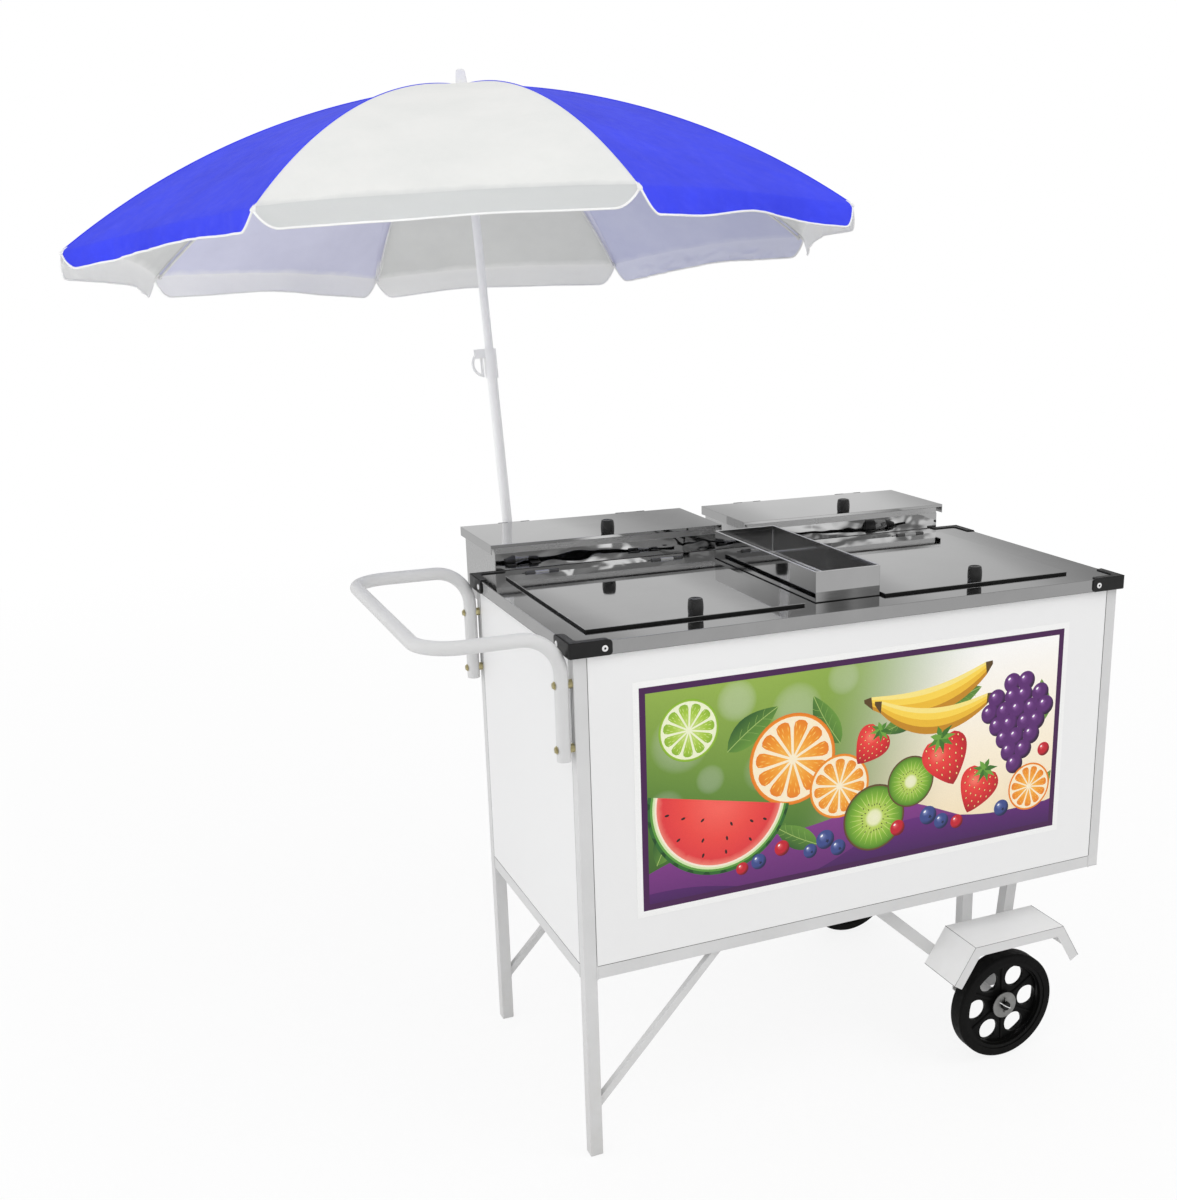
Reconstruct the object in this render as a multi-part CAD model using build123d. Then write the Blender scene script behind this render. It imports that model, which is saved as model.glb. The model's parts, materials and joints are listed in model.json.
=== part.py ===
"""Fruit salad cart: framed body with lidded tubs, rear boxes, handle, two wheels and a parasol."""

import math
import os

from build123d import *

# Sizes are in millimetres. X runs from the handle end to the wheel end, minus Y is the banner
# side, Z goes up from the floor. The last step moves the origin under the middle of the whole.

# Worktop and body frame
WORKTOP_LENGTH = 1200
WORKTOP_WIDTH = 612
WORKTOP_HEIGHT = 1020
APRON_DEPTH = 26
SHEET = 1.2
TUBE = 25
TUBE_WALL = 1.5
POST_INSET = 7.5
BODY_BOTTOM = 373
FOOT_PLATE = 3

# Body panels and banner
PANEL_SHEET = 1.0
PANEL_FLANGE = 18
PANEL_BEND = 2.5
BANNER_LENGTH = 960
BANNER_HEIGHT = 457
BANNER_SHEET = 0.5
BANNER_X = -5
BANNER_DROP = 85

# Corner guards
GUARD_LEG = 80
GUARD_SHEET = 3
GUARD_TOP = 2
GUARD_LAP = 14
GUARD_ROUND = 12
RIVET_R = 5
RIVET_HEAD = 1.5
RIVET_FROM_END = 14

# Push handle
HANDLE_R = 12.7
HANDLE_WALL = 1.5
HANDLE_REACH = 262
HANDLE_RISE = 13
HANDLE_DROP = 215
HANDLE_BEND = 70
SPACER_LENGTH = 6
SPACER_R = 8
BOLT_R = 3
BOLT_HEAD_R = 5.5
BOLT_HEAD_H = 4
BOLT_DROPS = (75, 193)

# Front tubs and lids
LID_WIDTH = 440
LID_FRONT = -240
LID_BACK = 236
LID_CENTRES = (-327.5, 288)
LID_SHEET = 1.5
LID_RISE = 5.5
SEAL_WIDTH = 8
SEAL_INSET = 1
TUB_WIDTH = 376
TUB_LENGTH = 406
TUB_DEPTH = 300
TUB_WALL = 1.0
TUB_RIM = 14
TUB_CORNER = 25
TUB_SLACK = 1

# Lid hinges
HINGE_PIN_R = 2.5
HINGE_PLAY = 0.08
KNUCKLE_R = 4.5
KNUCKLE_LENGTH = 30
KNUCKLE_SIDE = 20
KNUCKLE_GAP = 0.5
HINGE_BACK = 5.5
HINGE_LIFT = 0.5
LEAF_WIDTH = 22
LEAF_SHEET = 1.5
HINGE_HALF_SPAN = 140

# Rear boxes and lids
BOX_INNER_X = 38
BOX_OUTER_X = 546
BOX_FRONT = 312
BOX_BACK = 536
BOX_HEIGHT = 150.5
BOX_LID_TOP = 57
BOX_LID_OVERHANG = 10
BOX_LID_LIP = 20
BOX_LID_HEM = 5
BOX_ARM_XS = (-80, 80, 478)

# Knobs
KNOB_BASE_R = 12.5
KNOB_TOP_R = 14.5
KNOB_HEIGHT = 30
KNOB_ROUND = 3
KNOB_FROM_FRONT = 16

# Tray
TRAY_LEFT = -80
TRAY_RIGHT = 62
TRAY_FRONT = -230
TRAY_BACK = 225
TRAY_HEIGHT = 60
TRAY_HEM = 8

# Wheels and axle
WHEEL_R = 117.6
WHEEL_X = 330
WHEEL_MID_Y = 329.5
WHEEL_WIDTH = 37
TYRE_INNER_R = 100
TYRE_ROUND = 5
RIM_WIDTH = 33
RIM_INNER_R = 92
STEP_R = 88
WEB_RECESS = 17
WEB = 8
HUB_R = 26
HUB_FRONT_IN = 7
HUB_LENGTH = 36
WEB_HOLE_R = 23
WEB_HOLE_CIRCLE = 64
WEB_HOLES = 6
WEB_HOLE_TURN = 2
AXLE_R = 9.5
AXLE_PLAY = 0.08
WASHER_R = 29
WASHER = 2
SIDE_PLAY = 0.5
COTTER_R = 1.6
COTTER_LENGTH = 34
SLEEVE_R = 18
SPACER_TUBE_R = 14

# Struts under the body
STRUT = 25
STRUT_WALL = 1.5
STRUT_OUT_Y = 243
LONG_STRUT_X = 48
UPRIGHT_X = 294
SLANT_X = 412
SLANT_LOW_X = 385
LEG_BRACE = 15
LEG_BRACE_LOW = 111
LEG_BRACE_X = -321

# Mudguards
FENDER_OUT_Y = 357
FENDER_SHEET = 1.5
FENDER_LIP = 22
FENDER_TOP = 279
FENDER_LOW = 202
FENDER_TOP_X = (238.5, 463)
FENDER_LOW_X = (189.5, 508)

# Parasol, measured along its own raked axis from worktop level
POLE_X = -436
POLE_Y = 568
POLE_RAKE = 6.5
POLE_LEAN = 1.35
LOWER_R = 11
LOWER_BORE_R = 9.4
LOWER_BOTTOM = -300
LOWER_TOP = 425
UPPER_R = 9
UPPER_BORE_R = 7.5
UPPER_BOTTOM = 60
POLE_PLAY = 0.08
SOCKET_R = 15
SOCKET_TOP = -30
SOCKET_FLOOR = 5
COLLAR_R = 14
COLLAR_BOTTOM = 372
COLLAR_TOP = 436
EAR = 3
EAR_REACH = 34
EAR_HEIGHT = 20
LEVER_X = -28
LEVER_S = 424
LEVER_HALF = 3
LEVER_BAND = 5
LEVER_PIN_R = 2.5
LEVER_BOSS_R = 6
LEVER_INNER_X = -18
LEVER_OUTER_X = -43
LEVER_TOP_S = 432
LEVER_LOW_S = 375

# Parasol top
RIBS = 8
RIB_TURN = 3.3
CROWN_R = 27
CROWN_PIVOT_S = 972
CROWN_TOP_S = 983.5
CROWN_BOTTOM_S = 962
SLOT = 6
SLOT_ROOM = 1
SLOT_PAST = 5
PIN_SEAT = 1
SLOT_INNER_R = 13
PIVOT_CIRCLE = 20
PIVOT_R = 1.5
EYE_R = 3.6
EYE_WIDTH = 4.6
RIB_R = 2.5
RIB_TIP_BACK = 10
RIB_TIP_DROP = 5
RIB_TIP_BALL_R = 4
RIB_UNDER = 8
CLIP_R = 3.4
CLIP_HALF = 2.9
STRETCHER_R = 2.2
STRETCHER_SIDE = 5.6
STRETCHER_LENGTH = 255
RUNNER_SLEEVE_R = 13
RUNNER_ABOVE = 8
RUNNER_BELOW = 10
RUNNER_TAIL = 12
CANOPY_R = 830
CANOPY_RIM_S = 664
CANOPY_SAG = 58
CANOPY_CLOTH = 1.5
CANOPY_HOLE_R = 6.6
CANOPY_FLAT_R = 29
VALANCE = 66
VALANCE_ROUND = 35
FINIAL_R = 13.5
FINIAL_TOP_R = 9
FINIAL_HEIGHT = 36
FINIAL_ROUND = 5
FINIAL_STEM_R = 6

FOLD_TO = 77

# Values worked out from the sizes above
half_l = WORKTOP_LENGTH / 2
half_w = WORKTOP_WIDTH / 2
frame_top = WORKTOP_HEIGHT - SHEET
post_x = half_l - POST_INSET - TUBE / 2
post_y = half_w - POST_INSET - TUBE / 2
out_x = post_x + TUBE / 2
out_y = post_y + TUBE / 2
in_x = post_x - TUBE / 2
in_y = post_y - TUBE / 2
rail_top = BODY_BOTTOM + TUBE
top_rail_low = frame_top - TUBE
axle_z = WHEEL_R
nodes = {}


def block(x0, x1, y0, y1, z0, z1):
    """Box between two opposite corners."""
    middle = Pos((x0 + x1) / 2, (y0 + y1) / 2, (z0 + z1) / 2)
    return middle * Box(abs(x1 - x0), abs(y1 - y0), abs(z1 - z0))


def rod_x(x0, x1, y, z, r):
    return Pos((x0 + x1) / 2, y, z) * Rot(0, 90, 0) * Cylinder(r, abs(x1 - x0))


def rod_y(x, y0, y1, z, r):
    return Pos(x, (y0 + y1) / 2, z) * Rot(90, 0, 0) * Cylinder(r, abs(y1 - y0))


def rod_z(x, y, z0, z1, r):
    return Pos(x, y, (z0 + z1) / 2) * Cylinder(r, abs(z1 - z0))


def pack(*shapes):
    """Several separate solids kept together in one named piece."""
    solids = []
    for shape in shapes:
        solids += list(shape.solids())
    return Compound(children=solids)


def both_sides(shape):
    """The shape and its mirror image on the other side of the cart."""
    return [shape, mirror(shape, about=Plane.XZ)]


# Frame: posts, rails and struts
def tube_x(x0, x1, y, z):
    w = TUBE / 2
    v = w - TUBE_WALL
    return block(x0, x1, y - w, y + w, z - w, z + w) - block(x0, x1, y - v, y + v, z - v, z + v)


def tube_y(x, y0, y1, z):
    w = TUBE / 2
    v = w - TUBE_WALL
    return block(x - w, x + w, y0, y1, z - w, z + w) - block(x - v, x + v, y0, y1, z - v, z + v)


def post(x, y, bottom, floor):
    w = TUBE / 2
    v = w - TUBE_WALL
    outer = block(x - w, x + w, y - w, y + w, bottom, frame_top)
    return outer - block(x - v, x + v, y - v, y + v, bottom + floor, frame_top)


def slanted_bar(xa, za, xb, zb, y0, y1, width, before=60, after=60):
    """Square bar in an upright plane from one point to another, run on past both ends."""
    length = math.hypot(xb - xa, zb - za)
    angle = math.degrees(math.atan2(zb - za, xb - xa))
    bar = block(-before, length + after, y0, y1, -width / 2, width / 2)
    return Pos(xa, 0, za) * Rot(0, -angle, 0) * bar


def slanted_tube(xa, za, xb, zb, y, width, wall, before=60, after=60):
    w = width / 2
    outer = slanted_bar(xa, za, xb, zb, y - w, y + w, width, before, after)
    v = w - wall
    bore = slanted_bar(xa, za, xb, zb, y - v, y + v, width - 2 * wall, before + 1, after + 1)
    return outer, bore


bolt_zs = [WORKTOP_HEIGHT - drop for drop in BOLT_DROPS]
posts = []
for side in (-1, 1):
    leg = post(-post_x, side * post_y, 0, FOOT_PLATE)
    for z in bolt_zs:
        leg -= rod_x(-out_x, -out_x + 2 * TUBE_WALL, side * post_y, z, BOLT_R)
    posts.append(leg)
    posts.append(post(post_x, side * post_y, BODY_BOTTOM, 0))
nodes["corner_posts"] = pack(*posts)

rails = []
for z in (BODY_BOTTOM + TUBE / 2, frame_top - TUBE / 2):
    for side in (-1, 1):
        rails.append(tube_x(-in_x, in_x, side * post_y, z))
        rails.append(tube_y(side * post_x, -in_y, in_y, z))
strut_mid_y = STRUT_OUT_Y - STRUT / 2
for x in (LONG_STRUT_X, UPRIGHT_X, SLANT_X):
    rails.append(tube_y(x, -in_y, in_y, BODY_BOTTOM + TUBE / 2))

box_floor = WORKTOP_HEIGHT + BOX_LID_TOP - LID_SHEET - BOX_HEIGHT
ledger_half = out_x - POST_INSET
arm_z = box_floor - TUBE / 2
ledger_y = out_y + TUBE / 2
rails.append(tube_x(-ledger_half, ledger_half, ledger_y, arm_z))
raked = Pos(POLE_X, POLE_Y, WORKTOP_HEIGHT) * Rot(-POLE_RAKE, 0, 0) * Rot(0, -POLE_LEAN, 0)
socket_body = raked * rod_z(0, 0, LOWER_BOTTOM - SOCKET_FLOOR, SOCKET_TOP, SOCKET_R)
pole_arm_x = POLE_X + (WORKTOP_HEIGHT - arm_z) * math.tan(math.radians(POLE_LEAN))
pole_arm = tube_y(pole_arm_x, ledger_y + TUBE / 2, POLE_Y - SOCKET_R, arm_z) - socket_body
rails += pole_arm.solids().sort_by(Axis.Y)[:1]
arm_end = BOX_BACK - 4
for x in BOX_ARM_XS:
    rails.append(tube_y(x, ledger_y + TUBE / 2, arm_end, arm_z))
nodes["frame_rails"] = pack(*rails)

brace_outer, brace_bore = slanted_tube(
    -in_x, LEG_BRACE_LOW, LEG_BRACE_X, BODY_BOTTOM, -post_y, LEG_BRACE, STRUT_WALL
)
far = 3000
leg_side = block(-far, -in_x, -far, far, -far, far)
over_rail = block(-far, far, -far, far, BODY_BOTTOM, far)
leg_brace = brace_outer - brace_bore - leg_side - over_rail

sleeve_line = rod_y(WHEEL_X, -far, far, axle_z, SLEEVE_R)
long_outer, long_bore = slanted_tube(
    LONG_STRUT_X, BODY_BOTTOM, WHEEL_X, axle_z, -strut_mid_y, STRUT, STRUT_WALL, after=0
)
carrier_top = axle_z + STRUT / 2
under_carrier = block(-far, far, -far, far, -far, carrier_top)
past_upright = block(UPRIGHT_X - STRUT / 2, far, -far, far, -far, far)
long_strut = long_outer - long_bore - over_rail - past_upright
slant_outer, slant_bore = slanted_tube(
    SLANT_X, BODY_BOTTOM, SLANT_LOW_X, axle_z, -strut_mid_y, STRUT, STRUT_WALL
)
slant_strut = slant_outer - slant_bore - over_rail - under_carrier
upright_outer, upright_bore = slanted_tube(
    UPRIGHT_X, BODY_BOTTOM, UPRIGHT_X, axle_z, -strut_mid_y, STRUT, STRUT_WALL
)
upright = upright_outer - upright_bore - over_rail - under_carrier
carrier_outer, carrier_bore = slanted_tube(
    UPRIGHT_X - STRUT / 2, axle_z, SLANT_LOW_X + STRUT / 2, axle_z, -strut_mid_y, STRUT, STRUT_WALL, 0, 0
)
carrier = carrier_outer - carrier_bore - sleeve_line

hub_front = WHEEL_MID_Y + WHEEL_WIDTH / 2 - HUB_FRONT_IN
hub_back = hub_front - HUB_LENGTH
sleeve = rod_y(WHEEL_X, -STRUT_OUT_Y, -STRUT_OUT_Y + STRUT, axle_z, SLEEVE_R)
sleeve += rod_y(WHEEL_X, -hub_back + SIDE_PLAY, -STRUT_OUT_Y, axle_z, SPACER_TUBE_R)
sleeve -= rod_y(WHEEL_X, -half_w, -STRUT_OUT_Y + STRUT, axle_z, AXLE_R)

struts = []
for shape in (leg_brace, long_strut, slant_strut, upright, carrier, sleeve):
    for part in both_sides(shape):
        struts += part.solids()
nodes["frame_struts"] = pack(*struts)


# Body panels, folded back on all four sides to meet the frame
def pan(width, height):
    """Panel with its face at y 0 looking along minus Y, standing on z 0."""
    outer = Pos(0, PANEL_FLANGE / 2, height / 2) * Box(width, PANEL_FLANGE, height)
    outer = fillet(outer.edges().group_by(Axis.Y)[0], PANEL_BEND)
    inner = block(
        -width / 2 + PANEL_SHEET,
        width / 2 - PANEL_SHEET,
        PANEL_SHEET,
        PANEL_FLANGE + PANEL_SHEET,
        PANEL_SHEET,
        height - PANEL_SHEET,
    )
    inner = fillet(inner.edges().group_by(Axis.Y)[0], PANEL_BEND - PANEL_SHEET)
    return outer - inner


panel_height = top_rail_low - rail_top
long_pan = pan(2 * in_x, panel_height)
end_pan = pan(2 * in_y, panel_height)
nodes["front_panel"] = Pos(0, -out_y, rail_top) * long_pan
nodes["rear_panel"] = Pos(0, out_y, rail_top) * Rot(0, 0, 180) * long_pan
nodes["end_panels"] = pack(
    Pos(-out_x, 0, rail_top) * Rot(0, 0, -90) * end_pan,
    Pos(out_x, 0, rail_top) * Rot(0, 0, 90) * end_pan,
)
floor_y = out_y - PANEL_FLANGE - 1
nodes["floor_panel"] = block(-in_x, in_x, -floor_y, floor_y, rail_top, rail_top + PANEL_SHEET)
banner_top = WORKTOP_HEIGHT - BANNER_DROP
nodes["banner"] = block(
    BANNER_X - BANNER_LENGTH / 2,
    BANNER_X + BANNER_LENGTH / 2,
    -out_y - BANNER_SHEET,
    -out_y,
    banner_top - BANNER_HEIGHT,
    banner_top,
)

# Worktop with two tub openings
apron_low = WORKTOP_HEIGHT - APRON_DEPTH
lid_mid_y = (LID_FRONT + LID_BACK) / 2
worktop = block(-half_l, half_l, -half_w, half_w, apron_low, WORKTOP_HEIGHT)
worktop -= block(
    -half_l + SHEET, half_l - SHEET, -half_w + SHEET, half_w - SHEET, apron_low, frame_top
)
tub_out_w = TUB_WIDTH + 2 * TUB_WALL
tub_out_l = TUB_LENGTH + 2 * TUB_WALL
tub_out_round = TUB_CORNER + TUB_WALL
tubs = []
for x in LID_CENTRES:
    hole = RectangleRounded(
        tub_out_w + 2 * TUB_SLACK, tub_out_l + 2 * TUB_SLACK, tub_out_round + TUB_SLACK
    )
    worktop -= Pos(x, lid_mid_y, frame_top - 1) * extrude(hole, SHEET + 2)
    tub_top = WORKTOP_HEIGHT + SHEET
    tub_low = tub_top - TUB_DEPTH
    rim = RectangleRounded(
        tub_out_w + 2 * TUB_RIM, tub_out_l + 2 * TUB_RIM, tub_out_round + TUB_RIM
    )
    shell = RectangleRounded(tub_out_w, tub_out_l, tub_out_round)
    cavity = RectangleRounded(TUB_WIDTH, TUB_LENGTH, TUB_CORNER)
    tub = Pos(0, 0, WORKTOP_HEIGHT) * extrude(rim, SHEET)
    tub += Pos(0, 0, tub_low) * extrude(shell, TUB_DEPTH)
    tub -= Pos(0, 0, tub_low + TUB_WALL) * extrude(cavity, TUB_DEPTH)
    tubs.append(Pos(x, lid_mid_y, 0) * tub)
nodes["worktop"] = worktop
nodes["front_tubs"] = pack(*tubs)


# Corner guards: two upright legs with rounded free ends and a lip over the worktop edge
def guard_leg(reach):
    """Leg along minus X from the corner, outer face at y 0 looking along plus Y."""
    face = Polyline(
        (GUARD_SHEET, 0), (GUARD_SHEET, APRON_DEPTH + GUARD_TOP), (-reach, APRON_DEPTH + GUARD_TOP),
        (-reach, 0), (GUARD_SHEET, 0)
    )
    face = make_face(face)
    face = fillet(face.vertices().group_by(Axis.X)[0], GUARD_ROUND)
    return Rot(90, 0, 0) * extrude(face, -GUARD_SHEET)


leg_reach = GUARD_LEG - GUARD_SHEET
guard = guard_leg(leg_reach)
guard += mirror(guard, about=Plane(origin=(0, 0, 0), z_dir=(1, -1, 0)))
lap_reach = leg_reach - GUARD_ROUND
lap = block(-lap_reach, GUARD_SHEET, -GUARD_LAP, GUARD_SHEET, APRON_DEPTH, APRON_DEPTH + GUARD_TOP)
lap += block(-GUARD_LAP, GUARD_SHEET, -lap_reach, GUARD_SHEET, APRON_DEPTH, APRON_DEPTH + GUARD_TOP)
guard += lap
rivet_at = leg_reach - RIVET_FROM_END
rivet = rod_y(-rivet_at, GUARD_SHEET, GUARD_SHEET + RIVET_HEAD, APRON_DEPTH / 2, RIVET_R)
rivet_pair = [rivet, mirror(rivet, about=Plane(origin=(0, 0, 0), z_dir=(1, -1, 0)))]
guards = []
rivets = []
for sx in (-1, 1):
    for sy in (-1, 1):
        for piece, group in [(guard, guards), (rivet_pair[0], rivets), (rivet_pair[1], rivets)]:
            if sx < 0:
                piece = mirror(piece, about=Plane.YZ)
            if sy < 0:
                piece = mirror(piece, about=Plane.XZ)
            group.append(Pos(sx * half_l, sy * half_w, apron_low) * piece)
nodes["corner_guards"] = pack(*guards)
nodes["guard_rivets"] = pack(*rivets)

# Push handle with its bolts and spacers
grip_x = -(out_x + SPACER_LENGTH + HANDLE_R)
grip_far = -half_l - HANDLE_REACH + HANDLE_R
grip_z = WORKTOP_HEIGHT + HANDLE_RISE
grip_low = WORKTOP_HEIGHT - HANDLE_DROP
corners = [
    (grip_x, -post_y, grip_low),
    (grip_x, -post_y, grip_z),
    (grip_far, -post_y, grip_z),
    (grip_far, post_y, grip_z),
    (grip_x, post_y, grip_z),
    (grip_x, post_y, grip_low),
]
path = FilletPolyline(*corners, radius=HANDLE_BEND)
ring = Circle(HANDLE_R) - Circle(HANDLE_R - HANDLE_WALL)
handle = sweep(Pos(*corners[0]) * ring, path=path)
bolts = []
spacers = []
bolt_head_x = grip_x - HANDLE_R
bolt_end_x = -out_x + 2 * TUBE_WALL
tube_body = rod_z(grip_x, 0, grip_low, grip_z, HANDLE_R)
for side in (-1, 1):
    y = side * post_y
    for z in bolt_zs:
        handle -= rod_x(grip_x - 2 * HANDLE_R, grip_x + 2 * HANDLE_R, y, z, BOLT_R)
        bolt = rod_x(bolt_head_x, bolt_end_x, y, z, BOLT_R)
        bolt += rod_x(bolt_head_x - BOLT_HEAD_H, bolt_head_x, y, z, BOLT_HEAD_R)
        bolts.append(bolt)
        spacer = rod_x(grip_x, -out_x, y, z, SPACER_R) - Pos(0, y, 0) * tube_body
        spacers.append(spacer - rod_x(grip_x, -out_x, y, z, BOLT_R))
nodes["handle"] = handle
nodes["handle_bolts"] = pack(*bolts)
nodes["handle_spacers"] = pack(*spacers)


# Lids, hinges, seals and knobs
def lid_knuckles(mid_x, back_y, top_z, z):
    """Rolled barrels on the back edge of a lid, one for each of its two hinges."""
    y = back_y + HINGE_BACK
    made = []
    for x in (mid_x - HINGE_HALF_SPAN, mid_x + HINGE_HALF_SPAN):
        x0 = x - KNUCKLE_LENGTH / 2
        x1 = x + KNUCKLE_LENGTH / 2
        tab = block(x0, x1, back_y - 1, y, top_z - LID_SHEET, top_z)
        barrel = tab + rod_x(x0, x1, y, z, KNUCKLE_R)
        made.append(barrel - rod_x(x0, x1, y, z, HINGE_PIN_R + HINGE_PLAY))
    return made


def hinge_sides(mid_x, back_y, z, upright_leaf):
    """Fixed leaf with two barrels, and the pin through them, for each hinge of one lid."""
    y = back_y + HINGE_BACK
    made = []
    reach = KNUCKLE_LENGTH / 2 + KNUCKLE_GAP + KNUCKLE_SIDE
    for x in (mid_x - HINGE_HALF_SPAN, mid_x + HINGE_HALF_SPAN):
        for end in (-1, 1):
            x0 = x + end * (KNUCKLE_LENGTH / 2 + KNUCKLE_GAP)
            x1 = x + end * reach
            barrel = rod_x(x0, x1, y, z, KNUCKLE_R)
            if upright_leaf:
                barrel += block(x0, x1, BOX_BACK, BOX_BACK + LEAF_SHEET, z - LEAF_WIDTH, z)
            else:
                low = WORKTOP_HEIGHT
                barrel += block(x0, x1, y, y + LEAF_WIDTH, low, low + LEAF_SHEET)
            made.append(barrel - rod_x(x0, x1, y, z, HINGE_PIN_R))
        made.append(rod_x(x - reach, x + reach, y, z, HINGE_PIN_R))
    return made


def knob(x, y, z):
    """Plain tapered knob with its foot on a lid."""
    body = Pos(x, y, z + KNOB_HEIGHT / 2) * Cone(KNOB_BASE_R, KNOB_TOP_R, KNOB_HEIGHT)
    return fillet(body.edges().group_by(Axis.Z)[-1], KNOB_ROUND)


hinges = []
lid_top = WORKTOP_HEIGHT + LID_RISE
lid_pin_z = WORKTOP_HEIGHT + KNUCKLE_R + HINGE_LIFT
for name, x in zip(("front_left", "front_right"), LID_CENTRES):
    x0 = x - LID_WIDTH / 2
    x1 = x + LID_WIDTH / 2
    lid = block(x0, x1, LID_FRONT, LID_BACK, lid_top - LID_SHEET, lid_top)
    for barrel in lid_knuckles(x, LID_BACK, lid_top, lid_pin_z):
        lid += barrel
    nodes["lid_" + name] = lid
    a = SEAL_INSET
    b = SEAL_INSET + SEAL_WIDTH
    seal = block(
        x0 + a, x1 - a, LID_FRONT + a, LID_BACK - a, WORKTOP_HEIGHT, lid_top - LID_SHEET
    )
    seal -= block(
        x0 + b, x1 - b, LID_FRONT + b, LID_BACK - b, WORKTOP_HEIGHT, lid_top - LID_SHEET
    )
    nodes["seal_" + name] = seal
    nodes["knob_" + name] = knob(x, LID_FRONT + KNOB_FROM_FRONT, lid_top)
    hinges += hinge_sides(x, LID_BACK, lid_pin_z, False)

box_lid_top = WORKTOP_HEIGHT + BOX_LID_TOP
box_lid_under = box_lid_top - LID_SHEET
box_pin_z = box_lid_top - KNUCKLE_R
box_lid_back = BOX_BACK - HINGE_BACK + KNUCKLE_R + 0.5
box_mid = (BOX_INNER_X + BOX_OUTER_X) / 2
boxes = []
for name, side in (("rear_left", -1), ("rear_right", 1)):
    x = side * box_mid
    half = (BOX_OUTER_X - BOX_INNER_X) / 2
    cover = half + BOX_LID_OVERHANG
    front = BOX_FRONT - BOX_LID_OVERHANG
    tank = block(x - half, x + half, BOX_FRONT, BOX_BACK, box_floor, box_lid_under)
    tank -= block(
        x - half + SHEET,
        x + half - SHEET,
        BOX_FRONT + SHEET,
        BOX_BACK - SHEET,
        box_floor + SHEET,
        box_lid_under,
    )
    boxes.append(tank)
    lid = block(x - cover, x + cover, front, box_lid_back, box_lid_under, box_lid_top)
    lip_low = box_lid_top - BOX_LID_LIP
    for end in (-1, 1):
        edge = x + end * cover
        lid += block(edge - end * LID_SHEET, edge, front, box_lid_back, lip_low, box_lid_under)
    hem_low = box_lid_under - BOX_LID_HEM
    lid += block(x - cover, x + cover, front, front + LID_SHEET, hem_low, box_lid_under)
    for barrel in lid_knuckles(x, box_lid_back, box_lid_top, box_pin_z):
        lid += barrel
    nodes["lid_" + name] = lid
    nodes["knob_" + name] = knob(x, front + KNOB_FROM_FRONT, box_lid_top)
    hinges += hinge_sides(x, box_lid_back, box_pin_z, True)
nodes["rear_boxes"] = pack(*boxes)
nodes["lid_hinges"] = pack(*hinges)

# Tray with a folded hem along its top edge
tray_top = WORKTOP_HEIGHT + TRAY_HEIGHT
tray = block(TRAY_LEFT, TRAY_RIGHT, TRAY_FRONT, TRAY_BACK, WORKTOP_HEIGHT, tray_top)
hem = 2 * SHEET
tray -= block(
    TRAY_LEFT + hem, TRAY_RIGHT - hem, TRAY_FRONT + hem, TRAY_BACK - hem,
    tray_top - TRAY_HEM, tray_top
)
tray -= block(
    TRAY_LEFT + SHEET, TRAY_RIGHT - SHEET, TRAY_FRONT + SHEET, TRAY_BACK - SHEET,
    WORKTOP_HEIGHT + SHEET, tray_top - TRAY_HEM
)
nodes["tray"] = tray

# Wheels, made for the banner side and mirrored for the other
wheel_out = WHEEL_MID_Y + WHEEL_WIDTH / 2
wheel_in = WHEEL_MID_Y - WHEEL_WIDTH / 2
tyre = rod_y(WHEEL_X, -wheel_out, -wheel_in, axle_z, WHEEL_R)
tyre = fillet(tyre.edges(), TYRE_ROUND)
tyre -= rod_y(WHEEL_X, -wheel_out, -wheel_in, axle_z, TYRE_INNER_R)
rim_out = WHEEL_MID_Y + RIM_WIDTH / 2
rim_in = WHEEL_MID_Y - RIM_WIDTH / 2
web_out = wheel_out - WEB_RECESS
web_in = web_out - WEB
step_out = web_out + WEB_RECESS / 2
wheel = rod_y(WHEEL_X, -rim_out, -rim_in, axle_z, TYRE_INNER_R)
wheel -= rod_y(WHEEL_X, -rim_out, -step_out, axle_z, RIM_INNER_R)
wheel -= rod_y(WHEEL_X, -step_out, -web_out, axle_z, STEP_R)
wheel -= rod_y(WHEEL_X, -web_in, -rim_in, axle_z, RIM_INNER_R)
for i in range(WEB_HOLES):
    angle = math.radians(360 / WEB_HOLES * i + WEB_HOLE_TURN)
    hole_x = WHEEL_X + WEB_HOLE_CIRCLE * math.cos(angle)
    hole_z = axle_z + WEB_HOLE_CIRCLE * math.sin(angle)
    wheel -= rod_y(hole_x, -rim_out, -rim_in, hole_z, WEB_HOLE_R)
wheel += rod_y(WHEEL_X, -hub_front, -hub_back, axle_z, HUB_R)
wheel -= rod_y(WHEEL_X, -hub_front, -hub_back, axle_z, AXLE_R + AXLE_PLAY)
nodes["wheel_near"], nodes["wheel_far"] = both_sides(wheel)
nodes["tyre_near"], nodes["tyre_far"] = both_sides(tyre)

washer_in = hub_front + SIDE_PLAY
washer_out = washer_in + WASHER
cotter_y = washer_out + COTTER_R + SIDE_PLAY
axle_end = cotter_y + 4 * COTTER_R
axle = rod_y(WHEEL_X, -axle_end, axle_end, axle_z, AXLE_R)
axle = chamfer(axle.edges(), 1)
fittings = []
washer = rod_y(WHEEL_X, -washer_out, -washer_in, axle_z, WASHER_R)
washer -= rod_y(WHEEL_X, -washer_out, -washer_in, axle_z, AXLE_R)
cotter = rod_z(WHEEL_X, -cotter_y, axle_z - COTTER_LENGTH / 2, axle_z + COTTER_LENGTH / 2, COTTER_R)
for shape in (washer, cotter):
    fittings += both_sides(shape)
for shape in both_sides(cotter):
    axle -= shape
nodes["axle"] = axle
nodes["axle_fittings"] = pack(*fittings)


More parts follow.
